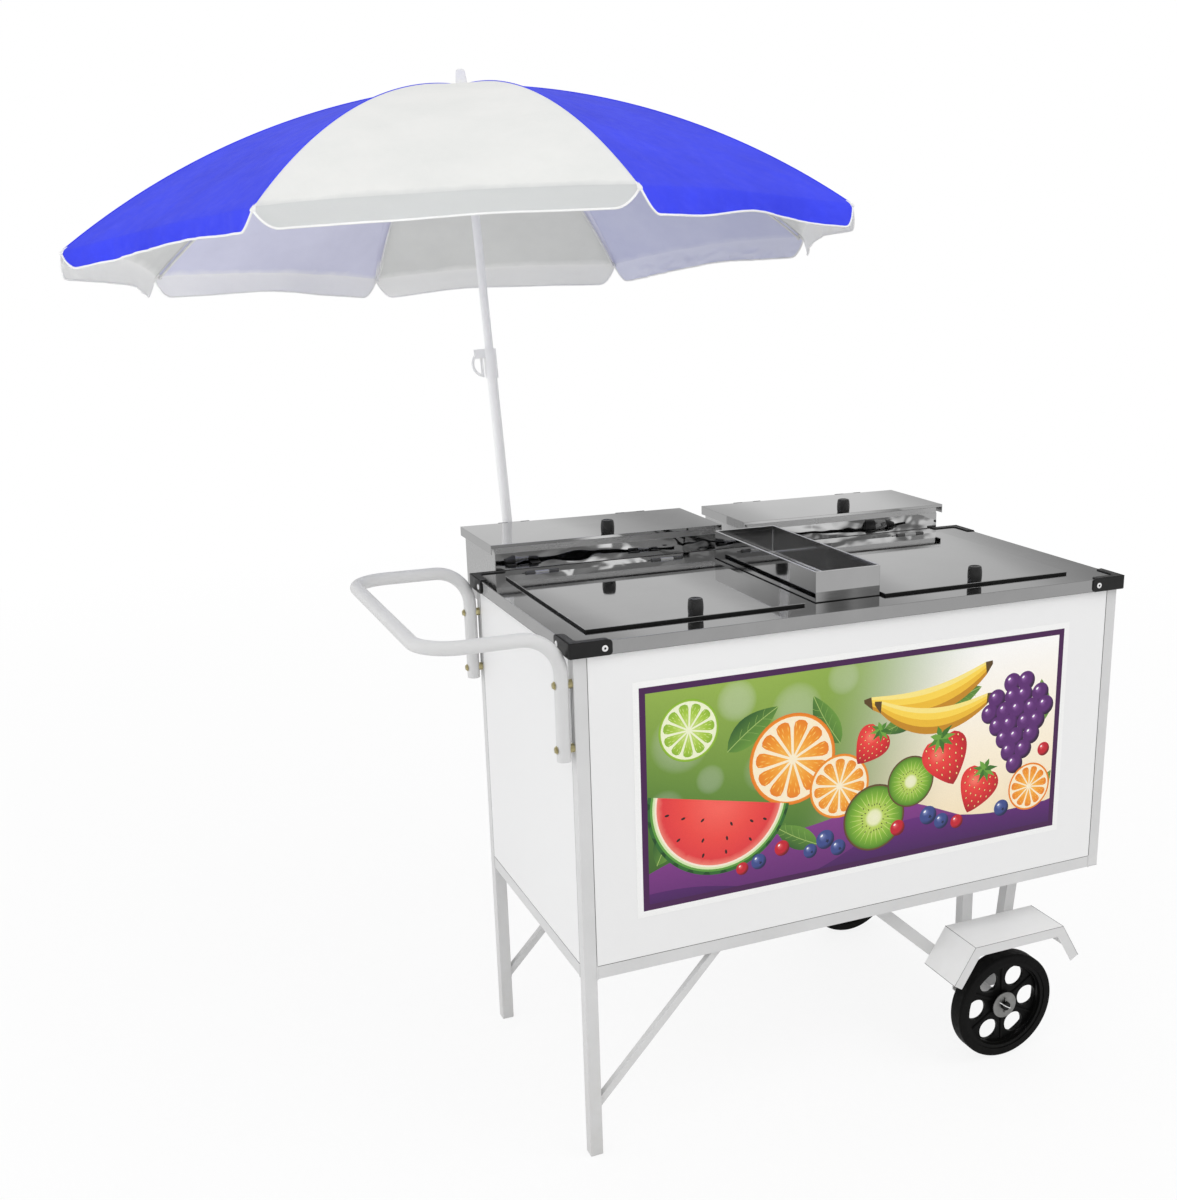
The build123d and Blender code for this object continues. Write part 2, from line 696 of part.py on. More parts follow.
# Mudguards
def inset(points, depth):
    """Outline and its copy moved inwards, joined into one band."""
    moved = []
    for i, (x, z) in enumerate(points):
        normals = []
        for j in (i - 1, i):
            if 0 <= j < len(points) - 1:
                dx = points[j + 1][0] - points[j][0]
                dz = points[j + 1][1] - points[j][1]
                length = math.hypot(dx, dz)
                normals.append((dz / length, -dx / length))
        nx = sum(n[0] for n in normals)
        nz = sum(n[1] for n in normals)
        scale = depth * 2 / (nx * nx + nz * nz) if len(normals) == 2 else depth
        moved.append((x + nx * scale, z + nz * scale))
    return list(points) + moved[::-1]


def band(points, y0, y1):
    face = make_face(Polyline(*points, close=True))
    return Pos(0, y1, 0) * Rot(90, 0, 0) * extrude(face, y1 - y0)


outline = [
    (FENDER_LOW_X[0], FENDER_LOW),
    (FENDER_TOP_X[0], FENDER_TOP),
    (FENDER_TOP_X[1], FENDER_TOP),
    (FENDER_LOW_X[1], FENDER_LOW),
]
fender = band(inset(outline, FENDER_SHEET), -FENDER_OUT_Y, -STRUT_OUT_Y)
fender += band(inset(outline, FENDER_LIP), -FENDER_OUT_Y, -FENDER_OUT_Y + FENDER_SHEET)
fender += band(inset(outline, FENDER_LIP), -STRUT_OUT_Y - FENDER_SHEET, -STRUT_OUT_Y)
nodes["fenders"] = pack(*both_sides(fender))

# Parasol poles, socket, collar and clamp lever, upright here and raked at the end
socket = rod_z(0, 0, LOWER_BOTTOM - SOCKET_FLOOR, SOCKET_TOP, SOCKET_R)
socket -= rod_z(0, 0, LOWER_BOTTOM, SOCKET_TOP, LOWER_R + POLE_PLAY)
lower = rod_z(0, 0, LOWER_BOTTOM, LOWER_TOP, LOWER_R)
lower -= rod_z(0, 0, LOWER_BOTTOM, LOWER_TOP, LOWER_BORE_R)
upper = rod_z(0, 0, UPPER_BOTTOM, CROWN_BOTTOM_S + TUBE / 2, UPPER_R)
upper -= rod_z(0, 0, UPPER_BOTTOM, CROWN_BOTTOM_S + TUBE / 2, UPPER_BORE_R)

collar = rod_z(0, 0, COLLAR_BOTTOM, COLLAR_TOP, COLLAR_R)
ear_half = LEVER_HALF + EAR + SHEET / 4
collar += block(
    -EAR_REACH, 0, -ear_half, ear_half, COLLAR_TOP - EAR_HEIGHT, COLLAR_TOP
)
gap_half = ear_half - EAR
collar -= block(
    -EAR_REACH, -COLLAR_R, -gap_half, gap_half, COLLAR_TOP - EAR_HEIGHT, COLLAR_TOP
)
collar -= rod_z(0, 0, COLLAR_BOTTOM, LOWER_TOP, LOWER_R)
collar -= rod_z(0, 0, LOWER_TOP, COLLAR_TOP, UPPER_R + POLE_PLAY)
collar -= rod_y(LEVER_X, -ear_half, ear_half, LEVER_S, LEVER_PIN_R + POLE_PLAY)

lever_mid_s = (LEVER_TOP_S + LEVER_LOW_S) / 2
loop = make_face(
    Curve()
    + Line((LEVER_INNER_X, LEVER_LOW_S), (LEVER_INNER_X, LEVER_TOP_S))
    + ThreePointArc(
        (LEVER_INNER_X, LEVER_TOP_S), (LEVER_OUTER_X, lever_mid_s), (LEVER_INNER_X, LEVER_LOW_S)
    )
)
loop -= offset(loop, -LEVER_BAND)
lever = Pos(0, LEVER_HALF, 0) * Rot(90, 0, 0) * extrude(loop, 2 * LEVER_HALF)
lever += rod_y(LEVER_X, -LEVER_HALF, LEVER_HALF, LEVER_S, LEVER_BOSS_R)
lever += rod_y(LEVER_X, -ear_half, ear_half, LEVER_S, LEVER_PIN_R)

# Parasol ribs: each folds on a pin in the crown, its stretcher on a pin in the runner
canopy_top_s = CROWN_TOP_S + CANOPY_CLOTH
narrow = math.cos(math.pi / RIBS)
flat_r = CANOPY_FLAT_R / narrow
chord_r = CANOPY_R - flat_r
chord_s = CANOPY_RIM_S - canopy_top_s
chord = math.hypot(chord_r, chord_s)
up_r = -chord_s / chord
up_s = chord_r / chord
mid_r = (CANOPY_R + flat_r) / 2 + up_r * CANOPY_SAG
mid_s = (CANOPY_RIM_S + canopy_top_s) / 2 + up_s * CANOPY_SAG
rib_tip_r = CANOPY_R - RIB_TIP_BACK
rib_tip_s = CANOPY_RIM_S - RIB_TIP_DROP
rib_arc = ThreePointArc(
    (PIVOT_CIRCLE, CROWN_PIVOT_S),
    (mid_r - up_r * RIB_UNDER, mid_s - up_s * RIB_UNDER),
    (rib_tip_r, rib_tip_s),
)
rib_radius = rib_arc.radius
arc_share = 2 * math.asin(STRETCHER_LENGTH / 2 / rib_radius) * rib_radius / rib_arc.length
joint = rib_arc @ arc_share
stretch_slope = math.asin((CROWN_PIVOT_S - joint.Y) / STRETCHER_LENGTH)
runner_pivot_s = CROWN_PIVOT_S - 2 * STRETCHER_LENGTH * math.sin(stretch_slope)
fold_turn = math.radians(FOLD_TO) - stretch_slope
fold_travel = 2 * STRETCHER_LENGTH * (math.sin(math.radians(FOLD_TO)) - math.sin(stretch_slope))


def upright_plane(shape):
    """Turns a flat drawing in radius and height so that it stands in the XZ plane."""
    return Rot(90, 0, 0) * shape


rib_path = upright_plane(rib_arc)
rib = sweep(Plane(origin=rib_path @ 0, z_dir=rib_path % 0) * Circle(RIB_R), path=rib_path)
rib += Pos(rib_tip_r, 0, rib_tip_s) * Sphere(RIB_TIP_BALL_R)
rib += rod_y(PIVOT_CIRCLE, -EYE_WIDTH / 2, EYE_WIDTH / 2, CROWN_PIVOT_S, EYE_R)
rib -= rod_y(PIVOT_CIRCLE, -EYE_WIDTH, EYE_WIDTH, CROWN_PIVOT_S, PIVOT_R + POLE_PLAY)
rib += rod_y(joint.X, -CLIP_HALF, CLIP_HALF, joint.Y, CLIP_R)

side_y = STRETCHER_SIDE
stretch_path = Line((PIVOT_CIRCLE, side_y, runner_pivot_s), (joint.X, side_y, joint.Y))
stretcher = sweep(
    Plane(origin=stretch_path @ 0, z_dir=stretch_path % 0) * Circle(STRETCHER_R), path=stretch_path
)
for r, s in ((PIVOT_CIRCLE, runner_pivot_s), (joint.X, joint.Y)):
    stretcher += rod_y(r, side_y - EYE_WIDTH / 2, side_y + EYE_WIDTH / 2, s, EYE_R)
for r, s in ((PIVOT_CIRCLE, runner_pivot_s), (joint.X, joint.Y)):
    stretcher -= rod_y(r, side_y - EYE_WIDTH, side_y + EYE_WIDTH, s, PIVOT_R + POLE_PLAY)

crown = rod_z(0, 0, CROWN_BOTTOM_S, CROWN_TOP_S, CROWN_R)
runner_top = runner_pivot_s + RUNNER_ABOVE
runner_low = runner_pivot_s - RUNNER_BELOW
runner = rod_z(0, 0, runner_low, runner_top, CROWN_R)
runner += rod_z(0, 0, runner_low - RUNNER_TAIL, runner_low, RUNNER_SLEEVE_R)
slot_top = CROWN_PIVOT_S + EYE_R + SLOT_ROOM
slot_floor = runner_pivot_s - EYE_R - SLOT_ROOM
slot_end = CROWN_R + SLOT_PAST
crown_slot = block(SLOT_INNER_R, slot_end, -SLOT / 2, SLOT / 2, CROWN_BOTTOM_S, slot_top)
runner_slot = block(
    SLOT_INNER_R, slot_end, side_y - SLOT / 2, side_y + SLOT / 2, slot_floor, runner_top
)
pin_half = SLOT / 2 + PIN_SEAT
crown_pin = rod_y(PIVOT_CIRCLE, -pin_half, pin_half, CROWN_PIVOT_S, PIVOT_R)
runner_pin = rod_y(
    PIVOT_CIRCLE, side_y - pin_half, side_y + pin_half, runner_pivot_s, PIVOT_R
)
turns = [RIB_TURN + 360 / RIBS * i for i in range(RIBS)]
for turn in turns:
    crown -= Rot(0, 0, turn) * crown_slot
    runner -= Rot(0, 0, turn) * runner_slot
for turn in turns:
    crown += Rot(0, 0, turn) * crown_pin
    runner += Rot(0, 0, turn) * runner_pin
crown -= rod_z(0, 0, CROWN_BOTTOM_S, CROWN_BOTTOM_S + TUBE / 2, UPPER_R)
crown -= rod_z(0, 0, CROWN_BOTTOM_S, CROWN_TOP_S, FINIAL_STEM_R)
runner -= rod_z(0, 0, runner_low - RUNNER_TAIL, runner_top, UPPER_R + POLE_PLAY)

# Parasol cloth: eight gores, each curved one way and flat across, with a flap at the rim
half_gore = math.pi / RIBS
start_r = CANOPY_FLAT_R
rim_r = CANOPY_R * narrow


def gore_band(drop):
    """Closed outline of the cloth seen from the side, from the crown out to the rim."""
    top = [
        (0, canopy_top_s - drop),
        (start_r, canopy_top_s - drop),
        (mid_r * narrow - up_r * drop, mid_s - up_s * drop),
        (rim_r - up_r * drop * 1.5, CANOPY_RIM_S - up_s * drop),
    ]
    return top


outer_line = gore_band(0)
inner_line = gore_band(CANOPY_CLOTH)
gore_face = make_face(
    Curve()
    + Line(outer_line[0], outer_line[1])
    + ThreePointArc(*outer_line[1:])
    + Line(outer_line[3], inner_line[3])
    + ThreePointArc(*inner_line[:0:-1])
    + Line(inner_line[1], inner_line[0])
    + Line(inner_line[0], outer_line[0])
)
gore_width = 2 * CANOPY_R * math.sin(half_gore)
gore = Pos(0, gore_width, 0) * upright_plane(extrude(gore_face, 2 * gore_width))
flap = Rectangle(2 * rim_r * math.tan(half_gore), VALANCE + 2)
flap = fillet(flap.vertices().group_by(Axis.Y)[0], VALANCE_ROUND)
flap_mid = CANOPY_RIM_S + 1 - VALANCE / 2
flap_plane = Plane(origin=(rim_r, 0, flap_mid - 1), x_dir=(0, 1, 0), z_dir=(1, 0, 0))
gore += flap_plane * extrude(flap, -CANOPY_CLOTH)
wedge_face = make_face(
    Polyline((0, 0), (far * narrow, -far * math.sin(half_gore)),
             (far * narrow, far * math.sin(half_gore)), close=True)
)
gore &= extrude(wedge_face, 2 * far)
gore -= rod_z(0, 0, 0, far, CANOPY_HOLE_R)
canopy = None
for turn in turns:
    placed = Rot(0, 0, turn + 180 / RIBS) * gore
    canopy = placed if canopy is None else canopy + placed

finial = rod_z(0, 0, canopy_top_s, canopy_top_s + 4, FINIAL_R)
finial += Pos(0, 0, canopy_top_s + FINIAL_HEIGHT / 2) * Cone(
    FINIAL_R, FINIAL_TOP_R, FINIAL_HEIGHT
)
finial = fillet(finial.edges().group_by(Axis.Z)[-1], FINIAL_ROUND)
finial += rod_z(0, 0, CROWN_BOTTOM_S + TUBE / 2 + 1, canopy_top_s, FINIAL_STEM_R)

upright_parts = {
    "umbrella_socket": socket,
    "pole_lower": lower,
    "pole_upper": upper,
    "height_collar": collar,
    "clamp_lever": lever,
    "crown": crown,
    "runner": runner,
    "canopy": canopy,
    "finial": finial,
}
for i, turn in enumerate(turns):
    upright_parts["rib_" + str(i + 1)] = Rot(0, 0, turn) * rib
    upright_parts["stretcher_" + str(i + 1)] = Rot(0, 0, turn) * stretcher
for name, shape in upright_parts.items():
    nodes[name] = raked * shape

# Origin on the floor under the middle of the whole cart
whole = Compound(children=[Compound(children=list(s.solids())) for s in nodes.values()])
span = whole.bounding_box()
shift = Pos(-(span.min.X + span.max.X) / 2, -(span.min.Y + span.max.Y) / 2, -span.min.Z)
os.makedirs("parts", exist_ok=True)
for name, shape in nodes.items():
    export_step(shift * shape, "parts/" + name + ".step")
print("pieces", len(nodes), "span", span.min, span.max)
print("shift", shift.position)
print("runner pivot", runner_pivot_s, "joint", joint, "slope", math.degrees(stretch_slope))
print("fold turn", math.degrees(fold_turn), "fold travel", fold_travel)
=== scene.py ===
# Fruit salad cart: materials, parasol cloth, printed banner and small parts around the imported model.
import json
import math

import bmesh
import bpy
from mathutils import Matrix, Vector, noise
from mathutils.geometry import delaunay_2d_cdt


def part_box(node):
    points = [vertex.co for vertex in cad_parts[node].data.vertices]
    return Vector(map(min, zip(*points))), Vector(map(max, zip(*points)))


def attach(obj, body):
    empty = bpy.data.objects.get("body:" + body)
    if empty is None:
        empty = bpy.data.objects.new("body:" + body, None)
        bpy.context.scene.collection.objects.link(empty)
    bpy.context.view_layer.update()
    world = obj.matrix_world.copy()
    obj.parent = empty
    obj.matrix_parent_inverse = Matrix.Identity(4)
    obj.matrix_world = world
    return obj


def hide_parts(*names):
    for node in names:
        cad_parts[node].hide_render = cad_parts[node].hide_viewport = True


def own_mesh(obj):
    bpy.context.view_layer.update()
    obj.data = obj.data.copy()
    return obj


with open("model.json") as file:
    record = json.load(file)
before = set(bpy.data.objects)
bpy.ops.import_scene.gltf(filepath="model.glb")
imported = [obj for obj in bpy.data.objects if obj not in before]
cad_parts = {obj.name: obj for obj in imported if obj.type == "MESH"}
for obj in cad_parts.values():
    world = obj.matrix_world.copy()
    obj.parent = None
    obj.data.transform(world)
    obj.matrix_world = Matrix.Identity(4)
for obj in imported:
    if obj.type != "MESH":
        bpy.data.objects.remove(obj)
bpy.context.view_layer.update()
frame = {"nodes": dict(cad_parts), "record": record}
scene = bpy.context.scene
scene.view_settings.view_transform = "Standard"

# Places: cart coordinates are millimetres with the worktop centred on 0, 0 and the floor at z 0.
SIDES = (-1, 1)
CORNERS = [(sx, sy) for sx in SIDES for sy in SIDES]
WORKTOP_H = 1020.0
top_low, top_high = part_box("worktop")
ORIGIN = Vector(((top_low.x + top_high.x) / 2, (top_low.y + top_high.y) / 2, 0.0))

# Parasol: its own x, y and s (along the pole, 0 at worktop height), leaning back by RAKE and left by LEAN.
POLE_X, POLE_Y = -436.0, 568.0
RAKE, LEAN = math.radians(6.5), math.radians(1.35)
RIBS = 8
GORE = math.radians(45)
FIRST_RIB = math.radians(3.3)


def cart(x, y, z):
    return ORIGIN + Vector((x, y, z)) / 1000


def para(x, y, s):
    x, s = x * math.cos(LEAN) - s * math.sin(LEAN), x * math.sin(LEAN) + s * math.cos(LEAN)
    c, k = math.cos(RAKE), math.sin(RAKE)
    return cart(POLE_X + x, POLE_Y + y * c + s * k, WORKTOP_H - y * k + s * c)


def para_dir(x, y, s):
    return (para(x, y, s) - para(0, 0, 0)).normalized()


# Camera, placed from the middle of the worktop, in metres
CAM_FROM_TOP = Vector((-1.3757, -2.5835, 0.6620))
CAM_YAW, CAM_PITCH = math.radians(-26.339), math.radians(-16.479)

lens = bpy.data.cameras.new("camera")
lens.lens = 43.47
lens.sensor_width = 36
lens.sensor_fit = "AUTO"
lens.shift_x = -0.1381
lens.shift_y = 0.058
camera = bpy.data.objects.new("camera", lens)
camera.location = cart(0, 0, WORKTOP_H) + CAM_FROM_TOP
camera.rotation_euler = (math.pi / 2 + CAM_PITCH, 0, CAM_YAW)
scene.collection.objects.link(camera)
scene.camera = camera


def rgb(code):
    """A linear colour from a hex code."""
    out = []
    for i in (0, 2, 4):
        c = int(code[i:i + 2], 16) / 255
        out.append(c / 12.92 if c <= 0.04045 else ((c + 0.055) / 1.055) ** 2.4)
    return (*out, 1.0)


class Nodes:
    """Adds linked shader nodes to a tree."""

    def __init__(self, tree):
        self.tree = tree

    def put(self, socket, value):
        if isinstance(value, bpy.types.NodeSocket):
            self.tree.links.new(value, socket)
        else:
            socket.default_value = value

    def node(self, kind, inputs=None, **props):
        made = self.tree.nodes.new("ShaderNode" + kind)
        for key, value in props.items():
            setattr(made, key, value)
        for key, value in (inputs or {}).items():
            self.put(made.inputs[key], value)
        return made

    def span(self, value, low, high, to_low=0.0, to_high=1.0):
        made = self.node("MapRange", {"Value": value, "From Min": low, "From Max": high,
                                      "To Min": to_low, "To Max": to_high})
        return made.outputs["Result"]

    def math(self, operation, *values):
        return self.node("Math", dict(enumerate(values)), operation=operation).outputs[0]

    def mix(self, share, a, b, blend="MIX"):
        made = self.node("Mix", {0: share, 6: a, 7: b}, data_type="RGBA", blend_type=blend)
        return made.outputs[2]

    def times(self, a, b):
        return self.mix(1.0, a, b, "MULTIPLY")

    def ramp(self, value, stops, blend="B_SPLINE"):
        """Smooth greys from stops of (place, grey)."""
        made = self.node("ValToRGB", {"Fac": value})
        made.color_ramp.interpolation = blend
        parts = made.color_ramp.elements
        parts[0].position, parts[1].position = stops[0][0], stops[-1][0]
        for place, _ in stops[1:-1]:
            parts.new(place)
        for part, (_, grey) in zip(parts, stops):
            part.color = (grey, grey, grey, 1)
        return made.outputs["Color"]

    def seen(self):
        """Light path outputs, and 1 for camera, glossy and transmission rays."""
        path = self.node("LightPath").outputs
        near = self.math("MAXIMUM", path["Is Camera Ray"], path["Is Glossy Ray"])
        return path, self.math("MAXIMUM", near, path["Is Transmission Ray"])


class Shader(Nodes):
    """A Principled material; textures follow the piece's own metres."""

    def __init__(self, name, **sockets):
        self.mat = bpy.data.materials.new(name)
        self.mat.use_nodes = True
        super().__init__(self.mat.node_tree)
        self.bsdf = self.tree.nodes["Principled BSDF"]
        self.coord = self.node("TexCoord").outputs["Object"]
        self.relief = None
        for key, value in sockets.items():
            self.bsdf.inputs[key.replace("_", " ")].default_value = value

    def uv(self):
        return self.node("TexCoord").outputs["UV"]

    def stretch(self, scale):
        return self.node("Mapping", {"Vector": self.coord, "Scale": scale}).outputs["Vector"]

    def noise(self, scale, detail=2.0, rough=0.5, vector=None, warp=0.0):
        made = self.node("TexNoise", {"Vector": vector or self.coord, "Scale": scale, "Detail": detail,
                                      "Roughness": rough, "Distortion": warp})
        return made.outputs["Fac"]

    def wave(self, period, direction, vector=None, distort=0.0):
        made = self.node("TexWave", {"Vector": vector or self.coord, "Scale": math.tau / 20 / period,
                                     "Distortion": distort}, bands_direction=direction)
        return made.outputs["Fac"]

    def uneven(self, low, high, *noise):
        """A number that wanders between low and high over the surface."""
        return self.span(self.noise(*noise), 0.3, 0.7, low, high)

    def axis(self, name, vector=None):
        return self.node("SeparateXYZ", {0: vector or self.coord}).outputs[name]

    def grey(self, value):
        return self.node("CombineXYZ", {0: value, 1: value, 2: value}).outputs[0]

    def color(self, value):
        self.put(self.bsdf.inputs["Base Color"], value)
        return self

    def rough(self, value):
        self.put(self.bsdf.inputs["Roughness"], value)
        return self

    def bump(self, height, depth):
        inputs = {"Height": height, "Distance": depth, "Strength": 1.0}
        if self.relief is not None:
            inputs["Normal"] = self.relief
        self.relief = self.node("Bump", inputs).outputs["Normal"]
        self.put(self.bsdf.inputs["Normal"], self.relief)
        return self


GRIME_TOP = 0.34
SHEET_SKIN = 6e-4


def coated(name, light, dark, gloss, peel=None, wave=None, patch=5.0, grime=None, fine=4, lip=None, **sockets):
    """A painted or moulded surface: uneven tone and gloss, relief as scale and depth, dust near the floor,
    and painted shade, the lip tone, where a face looks along y."""
    m = Shader(name, **sockets)
    tone = m.mix(m.uneven(0.0, 1.0, patch, fine, 0.6), rgb(dark), rgb(light))
    if grime:
        low = m.span(m.axis("Z"), 0.0, GRIME_TOP, 0.42, 0.0)
        share = m.math("MULTIPLY", low, m.span(m.noise(26, 5, 0.65), 0.35, 0.75))
        tone = m.mix(share, tone, rgb(grime))
    if lip:
        # Painted shade: faces that look along y take the darker lip tone, as if less lit than the tops.
        facing = m.axis("Y", m.node("NewGeometry").outputs["Normal"])
        tone = m.mix(m.span(m.math("ABSOLUTE", facing), 0.6, 0.9), tone, rgb(lip))
    m.color(tone)
    m.rough(m.uneven(*gloss, patch * 7, fine - 1, 0.6))
    if peel:
        m.bump(m.noise(peel[0], 2, 0.5), peel[1])
    if wave:
        m.bump(m.noise(wave[0], 1.5, 0.4), wave[1])
    return m.mat


def sheet_steel(name, light, dark, gloss, wave, inside=None):
    """Polished stainless sheet: faint rolling lines, slow waves, wiped patches; duller inside a named tray, and
    darker there as painted shade.
    """
    m = Shader(name, Metallic=1.0, Specular_IOR_Level=0.5)
    lines = m.uneven(-0.012, 0.012, 1.0, 3, 0.6, m.stretch((4, 700, 700)))
    wiped = m.noise(5.0, 5, 0.6, warp=0.6)
    tone = m.mix(m.span(wiped, 0.3, 0.7), rgb(dark), rgb(light))
    smear = m.math("ADD", m.span(wiped, 0.3, 0.75, *gloss), lines)
    if inside:
        within = 1.0
        for axis, low, high in zip("XYZ", *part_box(inside)):
            within = m.math("MULTIPLY", within, m.math("GREATER_THAN", m.axis(axis), low + SHEET_SKIN))
            if axis != "Z":
                within = m.math("MULTIPLY", within, m.math("LESS_THAN", m.axis(axis), high - SHEET_SKIN))
        smear = m.math("ADD", smear, m.math("MULTIPLY", within, 0.05))
        # Painted shade: the tray's inside takes a darker tone.
        tone = m.mix(within, tone, rgb("B0B0B0"))
    m.color(tone)
    m.rough(smear)
    m.bump(m.noise(wave[0], 1.5, 0.45), wave[1])
    return m.mat


def cloth(name, light, dark, weave=0.0011, flap=None):
    """Coated plain weave; the threads follow the panel's own cut, in metres, and so does the flap's tone, which
    paints the hanging flap's light and shade.
    """
    m = Shader(name, Sheen_Weight=0.03, Sheen_Roughness=0.5, Specular_IOR_Level=0.12)
    threads = m.math("MAXIMUM", m.wave(weave, "X", m.uv(), 0.4), m.wave(weave, "Y", m.uv(), 0.4))
    tone = m.mix(m.uneven(0.0, 1.0, 7, 4, 0.6), rgb(dark), rgb(light))
    # Painted light and shade: the flap below the fold takes its own tone, as it hangs and catches light differently
    # from the dome.
    if flap:
        down = m.math("MULTIPLY_ADD", m.noise(18, 3, 0.6), 0.03, m.axis("Y", m.uv()))
        tone = m.mix(m.span(down, FOLD_AT - 0.002, FOLD_AT + 0.026), tone, rgb(flap))
    m.color(m.times(tone, m.grey(m.span(threads, 0.2, 1.0, 0.93, 1.03))))
    m.rough(m.uneven(0.55, 0.7, 40, 3, 0.6))
    m.bump(threads, 6e-5)
    m.bump(m.noise(55, 3, 0.5), 2.5e-4)
    return m.mat


def printed(name):
    """Printed vinyl: the ink's colours with a fine dot grain under a smooth film."""
    m = Shader(name)
    ink = m.node("VertexColor", layer_name="ink").outputs["Color"]
    m.color(m.times(ink, m.grey(m.uneven(0.95, 1.04, 900, 2, 0.6))))
    m.rough(m.uneven(0.3, 0.38, 20, 3, 0.6))
    m.bump(m.noise(420, 2, 0.5), 6e-6)
    m.bump(m.noise(9, 2, 0.5), 8e-5)
    return m.mat


FRAME = coated("frame_paint", "DADADA", "D0D0D0", (0.3, 0.38), (700, 2e-6), grime="C6C3BC", Coat_Weight=0.1)
POLE = coated("pole_paint", "FCFCFC", "F7F7F7", (0.28, 0.36), (700, 2e-6), Coat_Weight=0.1)
PANEL = coated("panel_paint", "F0F0F0", "EEEEEE", (0.28, 0.3), None, (1.3, 1.2e-4), 0.9, fine=1, Coat_Weight=0.15)
# The mudguards' lip tone is painted shade on the faces that look along y.
GUARD = coated("mudguard_paint", "FAFAFA", "F4F4F4", (0.28, 0.36), (700, 2e-6), patch=3.0, grime="DCDAD4",
               lip="DADADA", Coat_Weight=0.1)
VINYL = coated("banner_vinyl", "F6F6F5", "F0F0F0", (0.3, 0.36), (500, 6e-6), patch=4.0)
STEEL = sheet_steel("stainless", "C0C0C0", "B6B6B6", (0.04, 0.075), (4.0, 2.0e-4))
BOX_STEEL = sheet_steel("stainless_bright", "C8C8C8", "C0C0C0", (0.02, 0.04), (6.0, 2.0e-4))
TUB_STEEL = sheet_steel("stainless_satin", "D8D8D8", "CECECE", (0.24, 0.32), (6.0, 1.0e-4))
LID_STEEL = sheet_steel("stainless_lid", "C6C6C6", "BEBEBE", (0.03, 0.06), (2.4, 2.2e-4))
# Inside the tray this steel turns rougher, and darker as painted shade.
TRAY_STEEL = sheet_steel("stainless_tray", "CCCCCC", "C2C2C2", (0.03, 0.05), (5.0, 2.0e-4), inside="tray")
KNOB = coated("knob_plastic", "242424", "202020", (0.26, 0.3), patch=8, fine=1)
# A lighter copy of the tray's steel for its rim and corner fillets: painted highlight.
RIM_STEEL = sheet_steel("stainless_rim_painted_highlight", "F2F2F2", "EAEAEA", (0.2, 0.26), (5.0, 1.0e-4))
BLACK = coated("black_plastic", "232323", "1B1B1B", (0.34, 0.46), (900, 8e-6), patch=12, Specular_IOR_Level=0.3)
# Black rubber for the seals, also used as painted shade for the tray's foot line and the axle's hollow ends.
RUBBER_AND_SHADE = coated("black_rubber", "0C0C0C", "080808", (0.6, 0.75), (700, 2e-5), patch=18)
GAP = coated("joint_sealant", "4A4A4A", "3C3C3C", (0.6, 0.75), (700, 2e-5), patch=18)
# Dark grey for lines of painted shade along the mudguards' folds.
FOLD_SHADE = coated("fold_painted_shade", "989898", "868686", (0.5, 0.65), (700, 1e-5), patch=30)
WHEEL = coated("wheel_plastic", "0F0F0F", "0A0A0A", (0.34, 0.46), (800, 8e-6), patch=14, grime="191816",
               Specular_IOR_Level=0.12)
TYRE = coated("tyre_rubber", "0E0E0E", "090909", (0.5, 0.66), (600, 2e-5), patch=20, grime="1D1B19",
              Specular_IOR_Level=0.12)
ZINC = coated("zinc", "D8CE9E", "C4B88A", (0.25, 0.4), (500, 5e-6), patch=60, Metallic=1.0)
RIVET = coated("rivet_white", "F4F4F4", "E4E4E4", (0.3, 0.42), (900, 5e-6), patch=90, Metallic=0.1)
STEEL_GREY = coated("plain_steel", "A8A8A6", "929290", (0.35, 0.5), (500, 1e-5), patch=40, Metallic=1.0)
HINGE = coated("hinge_steel", "747474", "626262", (0.4, 0.52), (500, 1e-5), patch=40, Metallic=1.0)
AXLE = coated("dark_steel", "3A3A3A", "2A2A2A", (0.35, 0.5), (500, 1e-5), patch=40, Metallic=1.0)
WHITE = coated("white_plastic", "F0F0F0", "E8E8E8", (0.25, 0.38), (600, 6e-6), patch=10)
WIRE = coated("rib_steel", "E8E8E8", "DCDCDC", (0.3, 0.42), (500, 1e-5), patch=20)
FOLD_AT = 0.87  # how far down a panel's cut its flap begins, in metres
BLUE = cloth("cloth_blue", "3D49F4", "3842E4")
# Flap tones are painted: darker on the white outer flap as painted shade, lighter on the inner flaps as painted
# light.
SNOW = cloth("cloth_white", "ECECEA", "E5E6E4", flap="CDCFCF")
# The pale inside tones stand for a coated underside and also paint the light that comes through the cloth.
BLUE_IN = cloth("cloth_blue_inside", "DEDFF4", "D4D5EB", flap="F6F6FA")
# A darker copy of the inside blue: painted shade for the panels that face away from the light.
BLUE_IN_PAINTED_SHADE = cloth("cloth_blue_inside_painted_shade", "CDD0EA", "C3C6E4", flap="DDDFF2")
SNOW_IN = cloth("cloth_white_inside", "E2E3E1", "DADBD9", flap="F8F8F6")
TRIM = cloth("cloth_trim", "F6F6F6", "EFEFEF", 0.0008)
PRINT = printed("banner_print")

